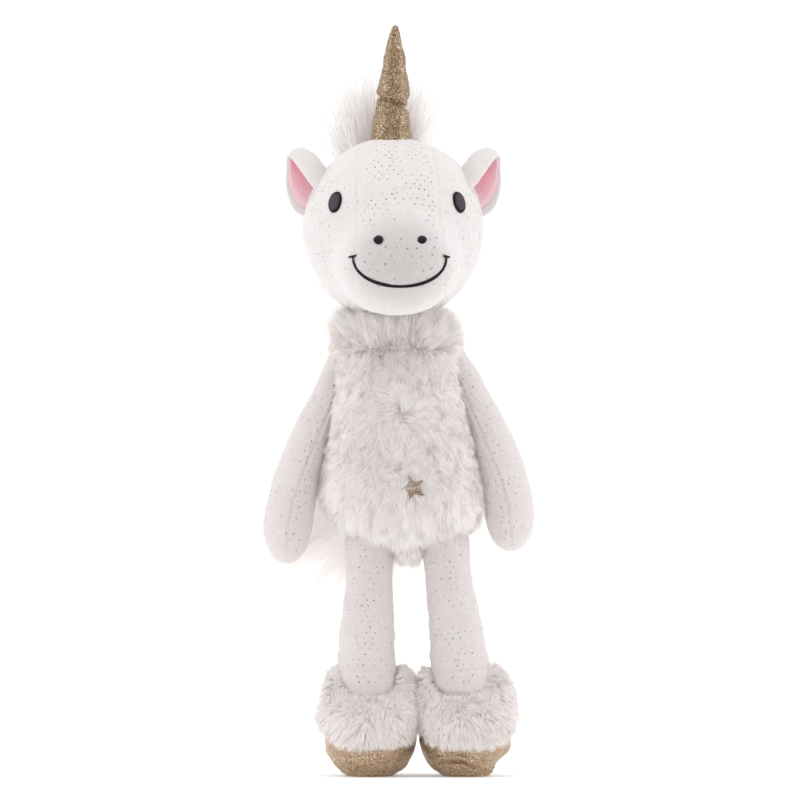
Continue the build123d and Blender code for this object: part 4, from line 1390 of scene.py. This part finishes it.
def studio():
    floor_mesh = bpy.data.meshes.new("floor")
    far = 6.0
    floor_mesh.from_pydata([(-far, -far, 0), (far, -far, 0), (far, far, 0), (-far, far, 0)], [], [(0, 1, 2, 3)])
    floor = bpy.data.objects.new("floor", floor_mesh)
    bpy.context.scene.collection.objects.link(floor)
    paper, tree, shader = new_material("floor_paper")
    tree.links.new(mottled(tree, (0.93, 0.93, 0.93), (0.95, 0.95, 0.95), 400), shader.inputs["Base Color"])
    set_shader(shader, roughness=0.9, specular=0.1)
    # a lit table: the paper glows a little, so its far end is as white as the room
    shader.inputs["Emission Color"].default_value = (1, 1, 1, 1)
    shader.inputs["Emission Strength"].default_value = 0.22
    floor_mesh.materials.append(paper)

    world = bpy.data.worlds.new("studio")
    bpy.context.scene.world = world
    world.use_nodes = True
    tree = world.node_tree
    background = next(n for n in tree.nodes if n.type == "BACKGROUND")
    # a white room whose front side is dimmer, so that the toy is lit from its sides and from behind
    place = add_node(tree, "ShaderNodeTexCoord").outputs["Generated"]
    depth = add_node(tree, "ShaderNodeSeparateXYZ", {0: place}).outputs["Y"]
    turned = reckon(tree, "MULTIPLY_ADD", depth, 0.5, 0.5)
    room = ramp(tree, turned, [
        (0.0, (0.46, 0.455, 0.45)), (0.22, (0.60, 0.595, 0.59)), (0.46, (1, 1, 1)), (1.0, (1, 1, 1)),
    ])
    # wherever the camera looks past the toy, the room is white
    seen = add_node(tree, "ShaderNodeLightPath").outputs["Is Camera Ray"]
    plain = add_node(tree, "ShaderNodeMix", data_type="RGBA")
    tree.links.new(seen, plain.inputs["Factor"])
    tree.links.new(room, plain.inputs[6])
    plain.inputs[7].default_value = (1, 1, 1, 1)
    tree.links.new(plain.outputs[2], background.inputs["Color"])
    background.inputs["Strength"].default_value = 1.05

    def lamp(name, place, aim, width, height, power, colour=(1, 1, 1)):
        data = bpy.data.lights.new(name, "AREA")
        data.shape, data.size, data.size_y, data.energy, data.color = "RECTANGLE", width, height, power, colour
        obj = bpy.data.objects.new(name, data)
        bpy.context.scene.collection.objects.link(obj)
        obj.location = place
        obj.rotation_euler = (Vector(aim) - Vector(place)).to_track_quat("-Z", "Y").to_euler()

    lamp("left_softbox", (-1.6, -0.5, 0.8), (0, 0, 0.25), 1.0, 1.4, 5)
    lamp("right_softbox", (1.6, -0.5, 0.8), (0, 0, 0.25), 1.0, 1.4, 5)
    lamp("top_softbox", (0, -0.5, 1.7), (0, 0, 0.3), 1.2, 1.2, 7)

    camera_data = bpy.data.cameras.new("camera")
    camera = bpy.data.objects.new("camera", camera_data)
    bpy.context.scene.collection.objects.link(camera)
    distance, view_x, view_height, view_width = 6.0, 0.0009, 0.225, 0.480
    camera.location = (view_x, -distance, view_height)
    camera.rotation_euler = (math.radians(90), 0, 0)
    camera_data.sensor_width = 36
    camera_data.lens = 36 * distance / view_width
    camera_data.clip_end = 50
    bpy.context.scene.camera = camera
    bpy.context.scene.view_settings.view_transform = "Standard"
    # white pile is lit mostly by light that has already met many other strands
    bpy.context.scene.cycles.diffuse_bounces = 12


studio()
